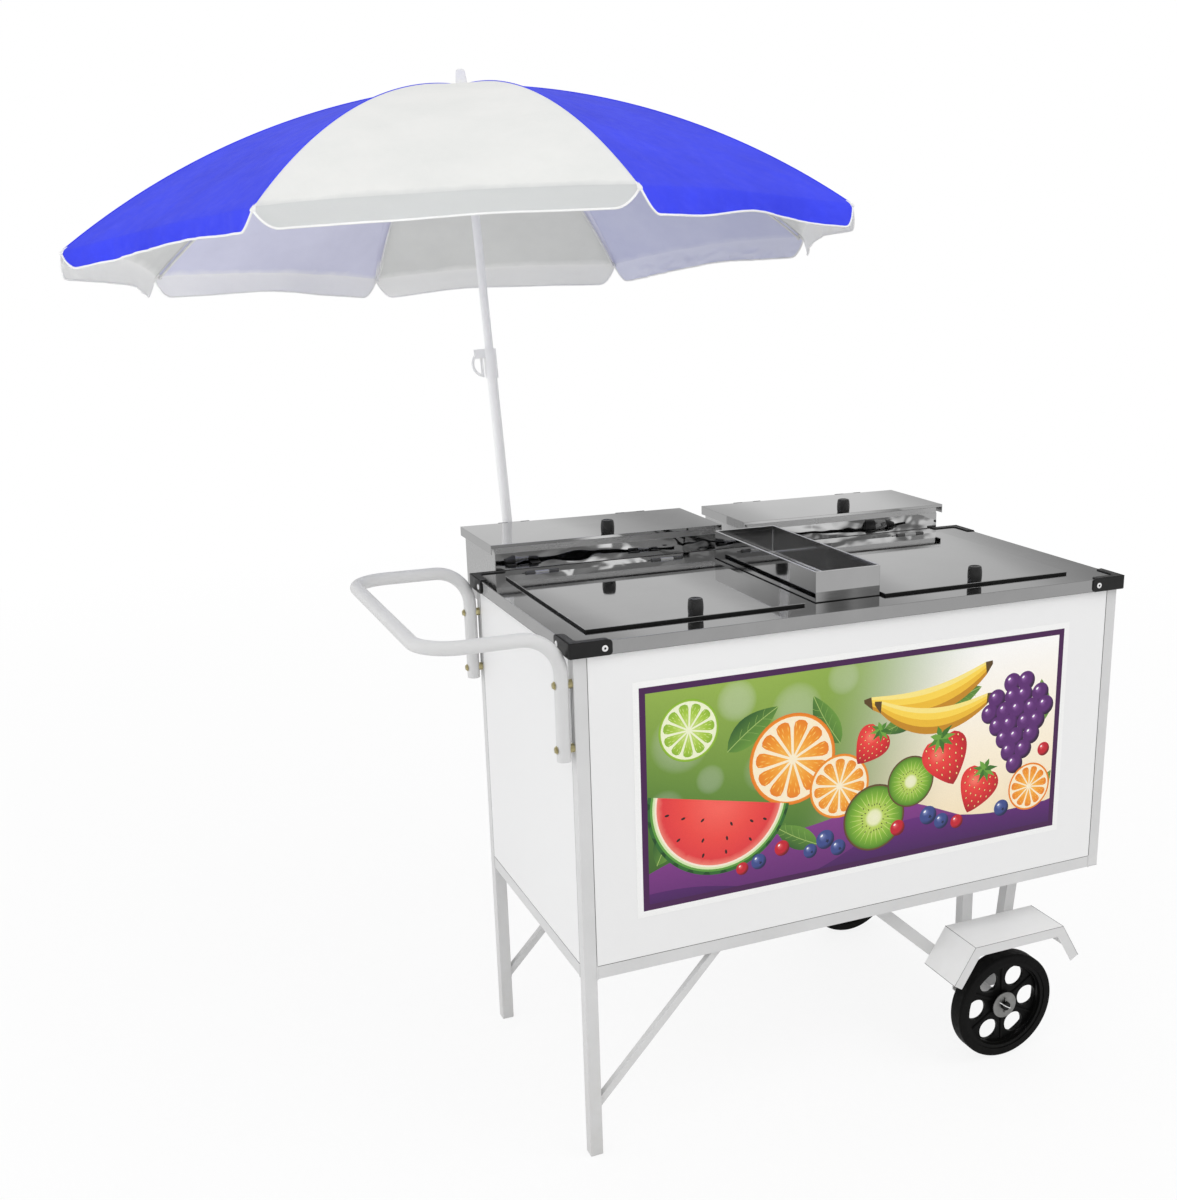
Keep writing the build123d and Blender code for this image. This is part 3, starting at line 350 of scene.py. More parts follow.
SLOT_FINISH = {
    "frame_paint": FRAME, "panel_paint": PANEL, "stainless": STEEL, "banner_print": VINYL,
    "black_plastic": BLACK, "black_rubber": RUBBER_AND_SHADE, "wheel_plastic": WHEEL, "tyre_rubber": TYRE,
    "zinc": ZINC, "rivet_white": RIVET, "plain_steel": STEEL_GREY, "white_plastic": WHITE,
    "cloth": SNOW, "rib_steel": WIRE,
}
LIDS = ("front_left", "front_right", "rear_left", "rear_right")
NODE_FINISH = {
    "rear_boxes": TUB_STEEL, "front_tubs": TUB_STEEL, "tray": TRAY_STEEL, "fenders": GUARD, "axle": AXLE,
    "lid_hinges": HINGE, "pole_lower": POLE, "pole_upper": POLE, "height_collar": POLE, "clamp_lever": POLE,
    **{"lid_" + lid: LID_STEEL for lid in LIDS},
}
# Width of the rounding in millimetres, and its steps
SOFT_EDGES = {
    "corner_posts": (2.0, 3), "frame_rails": (2.0, 3), "frame_struts": (2.0, 3), "worktop": (1.2, 2),
    "corner_guards": (1.5, 3), "rear_boxes": (1.0, 2), "tray": (0.6, 2), "fenders": (0.6, 2),
    "front_panel": (0.4, 2), "rear_panel": (0.4, 2), "end_panels": (0.4, 2),
    "clamp_lever": (1.2, 3), "height_collar": (1.0, 3), **{"lid_" + lid: (0.8, 2) for lid in LIDS},
}


def clean_group():
    """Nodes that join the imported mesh's split points, so that its edges can be rounded."""
    group = bpy.data.node_groups.new("join_points", "GeometryNodeTree")
    group.interface.new_socket("Geometry", in_out="INPUT", socket_type="NodeSocketGeometry")
    group.interface.new_socket("Geometry", in_out="OUTPUT", socket_type="NodeSocketGeometry")
    start = group.nodes.new("NodeGroupInput")
    end = group.nodes.new("NodeGroupOutput")
    drop = group.nodes.new("GeometryNodeRemoveAttribute")
    drop.inputs["Name"].default_value = "custom_normal"
    weld = group.nodes.new("GeometryNodeMergeByDistance")
    weld.inputs["Distance"].default_value = 1e-5
    group.links.new(start.outputs[0], drop.inputs["Geometry"])
    group.links.new(drop.outputs[0], weld.inputs["Geometry"])
    group.links.new(weld.outputs[0], end.inputs[0])
    return group


JOIN = clean_group()


def soften(obj, width, segments):
    """Rounds a CAD node's sharp edges in the render; its own mesh stays as packed."""
    obj.modifiers.new("join", "NODES").node_group = JOIN
    edge = obj.modifiers.new("edge", "BEVEL")
    edge.width = width / 1000
    edge.segments = segments
    edge.limit_method = "ANGLE"
    edge.angle_limit = math.radians(40)
    edge.use_clamp_overlap = True
    edge.harden_normals = True


for name, obj in frame["nodes"].items():
    slot = next(s["material_slot"] for s in frame["record"]["subparts"] if s["node"] == name)
    obj.data.materials.clear()
    obj.data.materials.append(NODE_FINISH.get(name, SLOT_FINISH[slot]))
for name, rounding in SOFT_EDGES.items():
    soften(frame["nodes"][name], *rounding)


class Build:
    """Collects the points, faces, finishes and cut coordinates of one piece, in metres."""

    def __init__(self):
        self.points, self.faces, self.finish, self.cut = [], [], [], []

    def add(self, points, faces, finish=0, cut=None):
        base = len(self.points)
        self.points += [Vector(p) for p in points]
        self.cut += cut or [(p[0] + p[2], p[1]) for p in points]
        self.faces += [[i + base for i in f] for f in faces]
        self.finish += [finish] * len(faces)

    def grid(self, rows, finish=0, around=False, cut=None):
        wide = len(rows[0])
        last = wide if around else wide - 1
        faces = []
        for i in range(len(rows) - 1):
            for j in range(last):
                k = (j + 1) % wide
                faces.append([i * wide + j, i * wide + k, (i + 1) * wide + k, (i + 1) * wide + j])
        self.add([p for row in rows for p in row], faces, finish, cut)

    def tube(self, path, radius, sides=8, finish=0, closed=False, flat=1.0, normal=None):
        """A closed tube along a path; radius is in millimetres, one number or one per point."""
        rows = []
        count = len(path)
        side = None
        for i, p in enumerate(path):
            ahead = path[(i + 1) % count] if closed else path[min(i + 1, count - 1)]
            back = path[i - 1] if closed or i else path[0]
            along = (ahead - back).normalized()
            if normal is not None:
                side = normal.cross(along).normalized()
            elif side is None:
                side = along.orthogonal().normalized()
            side = (side - along * side.dot(along)).normalized()
            up = along.cross(side)
            r = (radius[i] if isinstance(radius, list) else radius) / 1000
            rows.append([p + (side * math.cos(a) + up * (flat * math.sin(a))) * r
                         for a in (math.tau * j / sides for j in range(sides))])
        if closed:
            rows.append(rows[0])
        self.grid(rows, finish, around=True)
        if not closed:
            base = len(self.points) - count * sides
            last = len(self.points) - sides
            self.faces += [list(range(base, base + sides)), list(range(last, last + sides))]
            self.finish += [finish, finish]

    def lathe(self, profile, centre, axis, sides=24, finish=0):
        """A turned shape: profile is (radius, height) pairs along the axis, in millimetres."""
        axis = Vector(axis).normalized()
        side = axis.orthogonal().normalized()
        up = axis.cross(side)
        rows = []
        for r, h in profile:
            r, foot = max(r / 1000, 1e-6), Vector(centre) + axis * (h / 1000)
            rows.append([foot + (side * math.cos(a) + up * math.sin(a)) * r
                         for a in (math.tau * j / sides for j in range(sides))])
        self.grid(rows, finish, around=True)

    def make(self, name, finishes, body, replaces=(), sharp=35):
        mesh = bpy.data.meshes.new(name)
        mesh.from_pydata(self.points, [], self.faces)
        for finish in finishes:
            mesh.materials.append(finish)
        mesh.polygons.foreach_set("material_index", self.finish)
        layer = mesh.uv_layers.new(name="cut")
        for loop in mesh.loops:
            layer.data[loop.index].uv = self.cut[loop.vertex_index]
        work = bmesh.new()
        work.from_mesh(mesh)
        bmesh.ops.remove_doubles(work, verts=work.verts, dist=2e-6)
        bmesh.ops.dissolve_degenerate(work, edges=work.edges, dist=1e-7)
        bmesh.ops.recalc_face_normals(work, faces=work.faces)
        limit = math.radians(sharp)
        for edge in work.edges:
            edge.smooth = edge.is_manifold and edge.calc_face_angle(0) < limit
        for face in work.faces:
            face.smooth = True
        work.to_mesh(mesh)
        work.free()
        obj = bpy.data.objects.new(name, mesh)
        scene.collection.objects.link(obj)
        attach(obj, body)
        if replaces:
            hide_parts(*replaces)
        return obj


# Parasol cloth: the seam line over a rib, as radius and height, is flat at the top and then an arc.
SEAM_START_R = 22.0
FLAT_R, TOP_S = 31.4, 985.0
SEAM_MID, SEAM_TIP = (452.3, 878.3), (830.0, 664.0)
CLOTH_T = 1.0
RIM_BOW = 27.0
VALANCE_L, VALANCE_CORNER_L, VALANCE_CORNER_R = 57.0, 6.0, 46.0
HALF_GORE = GORE / 2
PIPE_R = 2.1
HALF_RIM = 318.0  # half a panel's width at its rim


def circle_through(a, b, c):
    ax, ay, bx, by, cx, cy = *a, *b, *c
    d = 2 * (ax * (by - cy) + bx * (cy - ay) + cx * (ay - by))
    a2, b2, c2 = ax * ax + ay * ay, bx * bx + by * by, cx * cx + cy * cy
    x = (a2 * (by - cy) + b2 * (cy - ay) + c2 * (ay - by)) / d
    y = (a2 * (cx - bx) + b2 * (ax - cx) + c2 * (bx - ax)) / d
    return x, y, math.hypot(ax - x, ay - y)


ARC_X, ARC_Y, ARC_R = circle_through((FLAT_R, TOP_S), SEAM_MID, SEAM_TIP)
ARC_FROM = math.atan2(TOP_S - ARC_Y, FLAT_R - ARC_X)
ARC_TO = math.atan2(SEAM_TIP[1] - ARC_Y, SEAM_TIP[0] - ARC_X)
FLAT_L = FLAT_R - SEAM_START_R
SEAM_L = FLAT_L + ARC_R * (ARC_FROM - ARC_TO)


def seam(t):
    """Radius, height and downward slope of the seam line, t millimetres from its start."""
    if t <= FLAT_L:
        return SEAM_START_R + t, TOP_S, math.pi / 2 - ARC_FROM
    a = ARC_FROM - (t - FLAT_L) / ARC_R
    return ARC_X + ARC_R * math.cos(a), ARC_Y + ARC_R * math.sin(a), math.pi / 2 - a


DOWN = Vector((-math.cos(RAKE) * math.sin(LEAN), math.sin(RAKE), -math.cos(RAKE) * math.cos(LEAN)))


def ripple(gore, u, x):
    """Slow uneven swell of the panel and pulls that run out from the rib tips, in millimetres."""
    swell = noise.noise(Vector((u * 1.7 + 11.3 * gore, x * 3.1, 0.37 * gore)))
    pulls = 0.0
    for end in (-1, 1):
        across = (1 - end * u) * HALF_RIM * x
        up = (1 - x) * SEAM_L
        far = math.hypot(across, up) + 1e-6
        fan = math.atan2(up, across)
        pulls += math.sin(fan * 11 + gore * 2.1 + end) * math.exp(-(far / 210) ** 2) * min(1, far / 60)
    edge = 1 - u ** 6
    return (1.6 * swell * x + 1.5 * pulls) * edge


def gore_point(gore, u, t):
    """A point of panel gore, u from -1 at its first rib to 1 at its second."""
    r, s, slope = seam(t)
    x = min(1.0, t / SEAM_L)
    sag = -10.0 * x * (1.4 - 0.65 * x) * (1 - u * u) + ripple(gore, u, x)
    out = r * math.cos(HALF_GORE) + sag * math.sin(slope)
    side = u * r * math.sin(HALF_GORE)
    a = FIRST_RIB + GORE * (gore - 0.5)
    return Vector((out * math.cos(a) - side * math.sin(a), out * math.sin(a) + side * math.cos(a),
                   s + sag * math.cos(slope)))


# Flap of each panel: share of the full length, outward flare in degrees, where and by how much the
# hem is pulled up, how strongly it ripples, and the depth of its creases.
FLAPS = {
    1: (0.95, 6, -0.2, 0.12, 1.4, 22.0), 2: (1.0, 7, 0.3, 0.1, 0.9, 5.0), 3: (0.95, 6, 0.1, 0.14, 1.1, 6.0),
    4: (1.0, 8, -0.3, 0.1, 0.9, 5.0), 5: (0.74, -4, 0.25, 0.12, 1.7, 10.0), 6: (0.8, 7, 0.2, 0.05, 0.7, 4.0),
    7: (1.0, 9, 0.1, 0.3, 1.2, 6.0), 8: (0.98, 7, -0.1, 0.12, 1.0, 5.0),
}


def rim_t(u):
    return SEAM_L - RIM_BOW * (1 - u * u)


def flap_length(gore, u):
    share, _, place, lift, _, _ = FLAPS[gore]
    full = VALANCE_L * share * (1 - lift * math.exp(-((u - place) / 0.38) ** 2))
    corner = min(1, (1 - abs(u)) * HALF_RIM / VALANCE_CORNER_R)
    return VALANCE_CORNER_L + (full - VALANCE_CORNER_L) * math.sin(corner * math.pi / 2) ** 0.85


def flap_point(gore, u, d):
    """A point of the flap along the rim, d millimetres below the fold."""
    _, flare, _, _, ripples, creases = FLAPS[gore]
    t = rim_t(u)
    rim = gore_point(gore, u, t)
    along = (rim - gore_point(gore, u, t - 4)).normalized()
    a = FIRST_RIB + GORE * (gore - 0.5 + 0.5 * u)
    out = Vector((math.cos(a), math.sin(a), 0))
    flare = math.radians(flare + 14 * abs(u) ** 3)
    hang = DOWN * math.cos(flare) + out * math.sin(flare)
    lead = 6 * (1 - math.exp(-d / 6))
    x = u * HALF_RIM
    wave = (0.6 * math.sin(x / 37 + 1.9 * gore) + 0.5 * math.sin(x / 61 + 4.1 * gore)
            + 0.35 * math.sin(x / 19 + 2.7 * gore) + 0.15 * math.sin(x / 9 + gore))
    crease = (abs(noise.noise(Vector((x / 44 + d / 60, d / 26 - x / 90, 5.3 * gore))))
              + 0.4 * abs(noise.noise(Vector((x / 21 - d / 30, d / 15, 2.9 * gore)))) - 0.3)
    hold = (1 - abs(u) ** 8) * (d / VALANCE_L)
    push = 4.0 * ripples * wave * (d / VALANCE_L) ** 0.2 + creases * crease * (1.25 - 0.5 * d / VALANCE_L)
    return rim + along * lead + hang * (d - lead) + out * push * hold


HALF_COLUMNS, DOME_ROWS, FLAP_ROWS = 40, 40, 13


def half_gore(rib, side):
    """The half panel on one side of a rib, with its flap and piped hem: it rides and folds with the rib."""
    gore = rib if side > 0 else (rib - 2) % RIBS + 1
    us = [-side * (1 - (1 - j / HALF_COLUMNS) ** 1.4) for j in range(HALF_COLUMNS, -1, -1)]
    count = DOME_ROWS + FLAP_ROWS + 1
    nudge = 1e-3

    def face(u, i):
        if i <= DOME_ROWS:
            return gore_point(gore, u, rim_t(u) * i / DOME_ROWS)
        return flap_point(gore, u, flap_length(gore, u) * (i - DOME_ROWS) / FLAP_ROWS)

    outer = [[face(u, i) for u in us] for i in range(count)]
    inner = []
    for i in range(count):
        row = []
        for j, u in enumerate(us):
            across = face(min(1, u + nudge), i) - face(max(-1, u - nudge), i)
            down = outer[min(i + 1, count - 1)][j] - outer[max(i - 1, 0)][j]
            row.append(outer[i][j] - down.cross(across).normalized() * CLOTH_T)
        inner.append(row)
    i, j = DOME_ROWS // 2, HALF_COLUMNS // 10
    if (outer[i][j] - inner[i][j]).z < 0:
        inner = [[2 * outer[i][j] - inner[i][j] for j in range(len(us))] for i in range(count)]
    work = Build()
    place = lambda rows: [[para(*p) for p in row] for row in rows]
    cut = [(u * HALF_RIM / 1000 * min(1, i / DOME_ROWS), FOLD_AT * i / DOME_ROWS) for i in range(count) for u in us]
    work.grid(place(outer), 0, cut=cut)
    work.grid(place(inner), 1, cut=cut)
    edges = [(outer[0], inner[0]), (outer[-1], inner[-1]),
             ([r[0] for r in outer], [r[0] for r in inner]), ([r[-1] for r in outer], [r[-1] for r in inner])]
    for a, b in edges:
        work.grid(place([a, b]), 0)
    at_rib = len(us) - 1 if abs(us[-1]) > abs(us[0]) else 0
    hem = [(outer[i][at_rib] + inner[i][at_rib]) / 2 for i in range(DOME_ROWS, count - 1)]
    order = range(len(us) - 1, -1, -1) if at_rib else range(len(us))
    hem += [(outer[-1][j] + inner[-1][j]) / 2 for j in order]
    work.tube([para(*p) for p in hem], PIPE_R, 8, 2)
    # Panels 1 and 7 take the inside blue with painted shade.
    lining = BLUE_IN_PAINTED_SHADE if gore in (1, 7) else BLUE_IN
    finishes = [BLUE, lining, TRIM] if gore % 2 else [SNOW, SNOW_IN, TRIM]
    tag = "left" if side < 0 else "right"
    obj = work.make(f"cloth_{rib}_{tag}", finishes, f"rib_{rib}", ["canopy"], sharp=50)
    a = FIRST_RIB + GORE * (rib - 1)
    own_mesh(obj)


def seam_strips(rib):
    """Facing sewn under a seam, one half in each panel's colour, and the raised seam line over it."""
    work = Build()
    left, right = (rib - 2) % RIBS + 1, rib
    rows, start, reach = 34, 12, SEAM_L - 3
    for gore, end, outer, inner in ((left, 1, 0, 1), (right, -1, 2, 3)):
        top, low = [], []
        for i in range(rows + 1):
            t = start + (reach - start) * i / rows
            r = seam(t)[0]
            wide = 5 + 21 * math.sin(math.pi * min(1, t / SEAM_L)) ** 0.9
            across = [end * (1 - share * wide / (r * math.sin(HALF_GORE)))
                      for share in (0, 0.25, 0.5, 0.75, 1)]
            row = [gore_point(gore, max(-1, min(1, u)), t) - Vector((0, 0, CLOTH_T + 0.5)) for u in across]
            top.append([para(*p) for p in row])
            low.append([para(*(p - Vector((0, 0, 0.7)))) for p in row])
        work.grid(top, outer)
        work.grid(low, inner)
        for k in (0, -1):
            work.grid([top[k], low[k]], inner)
        work.grid([[r[-1] for r in top], [r[-1] for r in low]], inner)
    colours = []
    for gore in (left, right):
        colours += [BLUE, BLUE_IN] if gore % 2 else [SNOW, SNOW_IN]
    facing = work.make(f"seam_facing_{rib}", colours, f"rib_{rib}", ["canopy"])
    line = Build()
    a = FIRST_RIB + GORE * (rib - 1)
    radial = Vector((math.cos(a), math.sin(a), 0))
    path = []
    for i in range(61):
        r, s, _ = seam(4 + (SEAM_L - 4) * i / 60)
        path.append(para(*(radial * r + Vector((0, 0, s + 0.2)))))
    line.tube(path, 1.2, 8, 0, flat=0.7, normal=para_dir(-radial.y, radial.x, 0))
    tip = [(0, -12), (3.4, -12), (4, -8), (4.2, 0), (4.6, 4), (4, 7.5), (2, 9), (0, 9.4)]
    line.lathe(tip, path[-1] - para_dir(0, 0, 1) * 0.004, path[-1] - path[-4], 16, 1)
    line.make(f"seam_line_{rib}", [BLUE, WHITE], f"rib_{rib}")


def top_cap():
    """Small round patch where the panels meet under the finial."""
    work = Build()
    profile = [(7.5, 985.9), (18, 986.1), (29, 985.7), (33.5, 984.9), (34, 984.2), (33.2, 983.8), (7.5, 985.3),
               (7.5, 985.9)]
    work.lathe(profile, para(0, 0, 0), para_dir(0, 0, 1), 48)
    cap = work.make("top_patch", [SNOW], "upper_pole")


for rib in range(1, RIBS + 1):
    for side in SIDES:
        half_gore(rib, side)
for rib in range(1, RIBS + 1):
    seam_strips(rib)
top_cap()


# Small parts on the cart, in millimetres
TOP_X, TOP_Y = 600, 306  # half the worktop
GUARD_T, RIVET_IN, RIVET_Z = 3, 63, 1007
RIVETS = [(sx * (TOP_X - RIVET_IN), sy * (TOP_Y + GUARD_T), (0, sy, 0)) for sx, sy in CORNERS]
RIVETS += [(sx * (TOP_X + GUARD_T), sy * (TOP_Y - RIVET_IN), (sx, 0, 0)) for sx, sy in CORNERS]
WHEEL_X, WEB_FACE, AXLE_Z = 330, 331, 117.6
# Middles of the bottom rails and the posts, half the width of their tube, and their inner or lower faces
RAIL_Z, POST_X, POST_Y, HALF_TUBE = 385.5, 580, 286, 12.5
RAIL_FOOT, FACE_X, FACE_Y = RAIL_Z - HALF_TUBE, POST_X - HALF_TUBE, POST_Y - HALF_TUBE


def around(middle, first, second):
    """The four corners of a rectangle, from its middle and two half sides."""
    m, a, b = Vector(middle), Vector(first), Vector(second)
    return [m - a - b, m + a - b, m + a + b, m - a + b]


def guard_rivets():
    """Pop rivets: a rolled ring with the broken stem sunk in its hole."""
    work = Build()
    ring = [(2.2, -0.2), (2.2, 0.9), (2.7, 1.4), (3.6, 1.6), (4.7, 1.3), (5.5, 0.7), (5.8, 0.1), (5.8, -0.4)]
    stem = [(0, 0.35), (1.3, 0.3), (1.9, 0.1), (2.22, -0.1)]
    for x, y, out in RIVETS:
        for finish, profile in enumerate((ring, stem)):
            work.lathe(profile, cart(x, y, RIVET_Z), out, 28, finish)
    work.make("pop_rivets", [RIVET, AXLE], "cart", ["guard_rivets"])


def handle_bolts():
    """Hexagon bolts with chamfered heads and a washer under each."""
    work = Build()
    low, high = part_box("handle_bolts")
    head = 4.0
    tail = head - (high.x - low.x) * 1000
    bolt = [(0, head), (3.6, head), (5.2, head - 0.25), (6.0, head - 0.9), (6.0, 0.9), (3.0, 0.9), (3.0, tail + 1),
            (2.4, tail), (0, tail)]
    washer = [(3.1, 0.9), (7.2, 0.9), (7.5, 0.7), (7.5, 0.0), (7.2, -0.1), (3.1, -0.1), (3.1, 0.9)]
    for z in (945, 827):
        for y in (-POST_Y, POST_Y):
            place = cart(0, y, z)
            place.x = low.x + head / 1000
            work.lathe(bolt, place, (-1, 0, 0), 6)
            work.lathe(washer, place, (-1, 0, 0), 28)
    work.make("hex_bolts", [ZINC], "cart", ["handle_bolts"])


def bead(work, corners, size):
    """A weld bead round a closed outline: a row of uneven overlapping ripples."""
    path, radius, step = [], [], 2.2
    for a, b in zip(corners, corners[1:] + corners[:1]):
        count = max(2, int((b - a).length / step))
        for i in range(count):
            p = a.lerp(b, i / count)
            path.append(cart(*p))
            grain = noise.noise(p * 0.21) * 0.22
            radius.append(size * (1 + grain + (0.12 if len(path) % 2 else -0.1)))
    work.tube(path, radius, 7, closed=True)


def weld_beads():
    """Beads where rails meet posts, and where braces and struts meet posts and rails."""
    work = Build()
    h = HALF_TUBE
    for sx, sy in CORNERS:
        bead(work, around((sx * FACE_X, sy * POST_Y, RAIL_Z), (0, h, 0), (0, 0, h)), 1.7)
        bead(work, around((sx * POST_X, sy * FACE_Y, RAIL_Z), (h, 0, 0), (0, 0, h)), 1.7)
    for sy in SIDES:
        bead(work, around((-FACE_X, sy * POST_Y, 111), (0, 7.5, 0), (0, 0, 11)), 1.5)
        bead(work, around((-321, sy * POST_Y, RAIL_FOOT), (10.5, 0, 0), (0, 7.5, 0)), 1.5)
        for x, half in ((48, 18.6), (294, 12.5), (412, 12.6)):
            bead(work, around((x, sy * 230.5, RAIL_FOOT), (half, 0, 0), (0, h, 0)), 1.6)
    work.make("weld_beads", [FRAME], "cart")


def panel_joints():
    """Dark sealant lying in the groove between each body panel and the frame."""
    work = Build()
    middle, rise, deep = 695.9, (0, 0, 297.9), 1.3
    for side in SIDES:
        for outline in (around((0, side * (POST_Y + HALF_TUBE - deep), middle), (FACE_X, 0, 0), rise),
                        around((side * (POST_X + HALF_TUBE - deep), 0, middle), (0, FACE_Y, 0), rise)):
            work.tube([cart(*p) for p in outline], 1.1, 6, closed=True)
    work.make("panel_joints", [GAP], "cart")


def mudguard_folds():
    """Painted shade: a dark line along each fold and free edge of the mudguards' sheet."""
    work = Build()
    near, far, thin = 357.0, 243.0, 0.6
    outline = [(189.5, 202), (238.5, 279), (463, 279), (508, 202)]
    for side in SIDES:
        work.tube([cart(x, side * near, z) for x, z in outline], thin, 6)
        for x, z in outline:
            work.tube([cart(x, side * near, z), cart(x, side * far, z)], thin, 6)
    work.make("mudguard_folds", [FOLD_SHADE], "cart")


def wheel_ribs(name, side):
    """Low ribs between the holes of a wheel's web."""
    work = Build()
    rib = [(27, 0.2, 3.2), (30, 0.9, 3.4), (45, 0.9, 3), (60, 0.9, 3), (75, 0.9, 3), (86, 0.9, 3.4),
           (88.5, 0.2, 3.6)]
    for i in range(6):
        a = math.radians(32 + 60 * i)
        path = [cart(WHEEL_X + r * math.cos(a), side * (WEB_FACE + lift), AXLE_Z + r * math.sin(a))
                for r, lift, _ in rib]
        work.tube(path, [thick for _, _, thick in rib], 10, flat=0.75, normal=Vector((0, side, 0)))
    work.make("ribs_" + name, [WHEEL], name)


def axle_clips():
    """A wire clip sprung over each end of the axle, and a shallow black disc on each end that paints the shade in
    its hollow end.
    """
    work = Build()
    low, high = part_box("axle")
    middle = (low + high) / 2
    wire = [(-17, -7.4), (-13, -7.0), (-11, -5.0), (-10, -1.0), (-8.6, 0.9), (-4, 1.2), (4, 1.2), (8.6, 0.9),
            (10, -1.0), (11, -5.0), (13, -7.0), (17, -7.4)]
    # Painted shade: a black disc stands for the dark inside of the hollow end.
    hollow_shade = [(0, 0.1), (5.5, 0.1), (6.6, 0.35), (7.0, 0.2), (7.0, -0.4)]
    tilt = math.radians(33)
    along = Vector((math.cos(tilt), 0, -math.sin(tilt)))
    for side in SIDES:
        face = Vector((middle.x, middle.y + side * (high.y - middle.y), middle.z))
        work.tube([face + along * (u / 1000) + Vector((0, side * v / 1000, 0)) for u, v in wire], 1.1, 10)
        work.lathe(hollow_shade, face, (0, side, 0), 28, 1)
    work.make("axle_clips", [RIVET, RUBBER_AND_SHADE], "cart")


def box_fronts():
    """The bright sheet on the front of each rear box, buckled by its folded edges."""
    work = Build()
    face, low, high, proud, columns, steps = 312.0, 1020.6, 1056.0, 2.0, 150, 18
    for x0, x1 in ((-545.4, -38.6), (38.6, 545.4)):
        rows, back = [], []
        for i in range(steps + 1):
            v = i / steps
            row, under = [], []
            for j in range(columns + 1):
                u = j / columns
                x, z = x0 + (x1 - x0) * u, low + (high - low) * v
                hold = min(1, u * 14, (1 - u) * 14) * (0.35 + 0.65 * math.sin(math.pi * v))
                wave = (0.75 * noise.noise(Vector((x / 80, z / 40, 3.1)))
                        + 0.26 * noise.noise(Vector((x / 30, z / 24, 8.7)))
                        + 0.4 * math.sin(x / 66 + z / 34 + 2 * noise.noise(Vector((x / 150, 0, 1)))))
                row.append(cart(x, face - proud - 1.35 * hold * wave, z))
                under.append(cart(x, face, z))
            rows.append(row)
            back.append(under)
        work.grid(rows)
        for k in (0, -1):
            work.grid([rows[k], back[k]])
        for k in (0, -1):
            work.grid([[r[k] for r in rows], [r[k] for r in back]])
        work.grid([back[0], back[-1]])
    work.make("box_fronts", [BOX_STEEL], "cart")


def knobs():
    """Turned knobs with a swelling side and a dished top."""
    side = [(0, 0), (13.6, 0), (14.0, 0.5), (14.6, 7), (14.8, 13), (14.5, 20), (13.7, 26), (13.2, 28.2),
            (12.2, 29.5), (10.6, 30), (9.4, 29.8), (8.6, 29.2), (0, 28.9)]
    for lid in LIDS:
        low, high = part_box("knob_" + lid)
        work = Build()
        work.lathe(side, ((low.x + high.x) / 2, (low.y + high.y) / 2, low.z), (0, 0, 1), 40)
        work.make("grip_" + lid, [KNOB], "lid_" + lid, ["knob_" + lid])


def corner_guards():
    """Moulded corner guards: a bent band with rounded free ends and a lip over the worktop's edge."""
    work = Build()
    reach, low, high, bend, end, soft = 77.0, 994.0, 1022.0, 4.0, 6.0, 0.8
    lip, lip_reach, lip_round, lip_low = 14.0, 71.0, 8.0, 1019.9
    quarter = [math.pi / 2 * i / 6 for i in range(7)]
    leg = [(-reach + end * (1 - math.cos(a)), end * (1 - math.sin(a))) for a in quarter]
    turn = GUARD_T - bend
    columns = [((x, GUARD_T), (x, 0), cut) for x, cut in leg]
    columns += [((turn + bend * math.sin(a), turn + bend * math.cos(a)), (0, 0), 0) for a in quarter]
    columns += [((GUARD_T, y), (0, y), cut) for y, cut in reversed(leg)]
    inner = [(-lip - lip_round + lip_round * math.cos(a), -lip - lip_round + lip_round * math.sin(a))
             for a in quarter]
    tip = [(-lip_reach + end - end * math.cos(a), -lip + end - end * math.sin(a)) for a in quarter]
    plan = [(2, -lip_reach), *[(y, x) for x, y in tip], *inner, *tip[::-1], (-lip_reach, 2), (2, 2)]
    for sx, sy in CORNERS:
        spot = lambda x, y, z: cart(sx * (TOP_X + x), sy * (TOP_Y + y), z)
        rows = []
        for outside, inside, cut in columns:
            out, back = Vector(outside), Vector(inside)
            near = out + (back - out).normalized() * soft
            v0, v1 = low + cut, high - cut
            ring = [(back, v0), (near, v0), (out, v0 + soft), (out, v1 - soft), (near, v1), (back, v1)]
            rows.append([spot(p.x, p.y, v) for p, v in ring])
        work.grid(rows, around=True)
        for row in (rows[0], rows[-1]):
            work.add(row, [list(range(len(row)))])
        faces = [[spot(x, y, z) for x, y in plan] for z in (lip_low, high)]
        for row in faces:
            work.add(row, [list(range(len(row)))])
        work.grid(faces, around=True)
    work.make("guard_corners", [BLACK], "cart", ["corner_guards"])


def cove(work, a, b, left, up, size):
    """A hollow fillet along the edge from a to b, between walls that run off along left and up."""
    a, b, left, up = Vector(a), Vector(b), Vector(left), Vector(up)
    section = [(left + up) * -0.3]
    for i in range(9):
        turn = math.pi / 2 * i / 8
        section.append((left + up) * size - (left * math.cos(turn) + up * math.sin(turn)) * size)
    rows = [[cart(*(end + p)) for p in section] for end in (a, b)]
    work.grid(rows, around=True)
    for row in rows:
        work.add(row, [list(range(len(row)))])


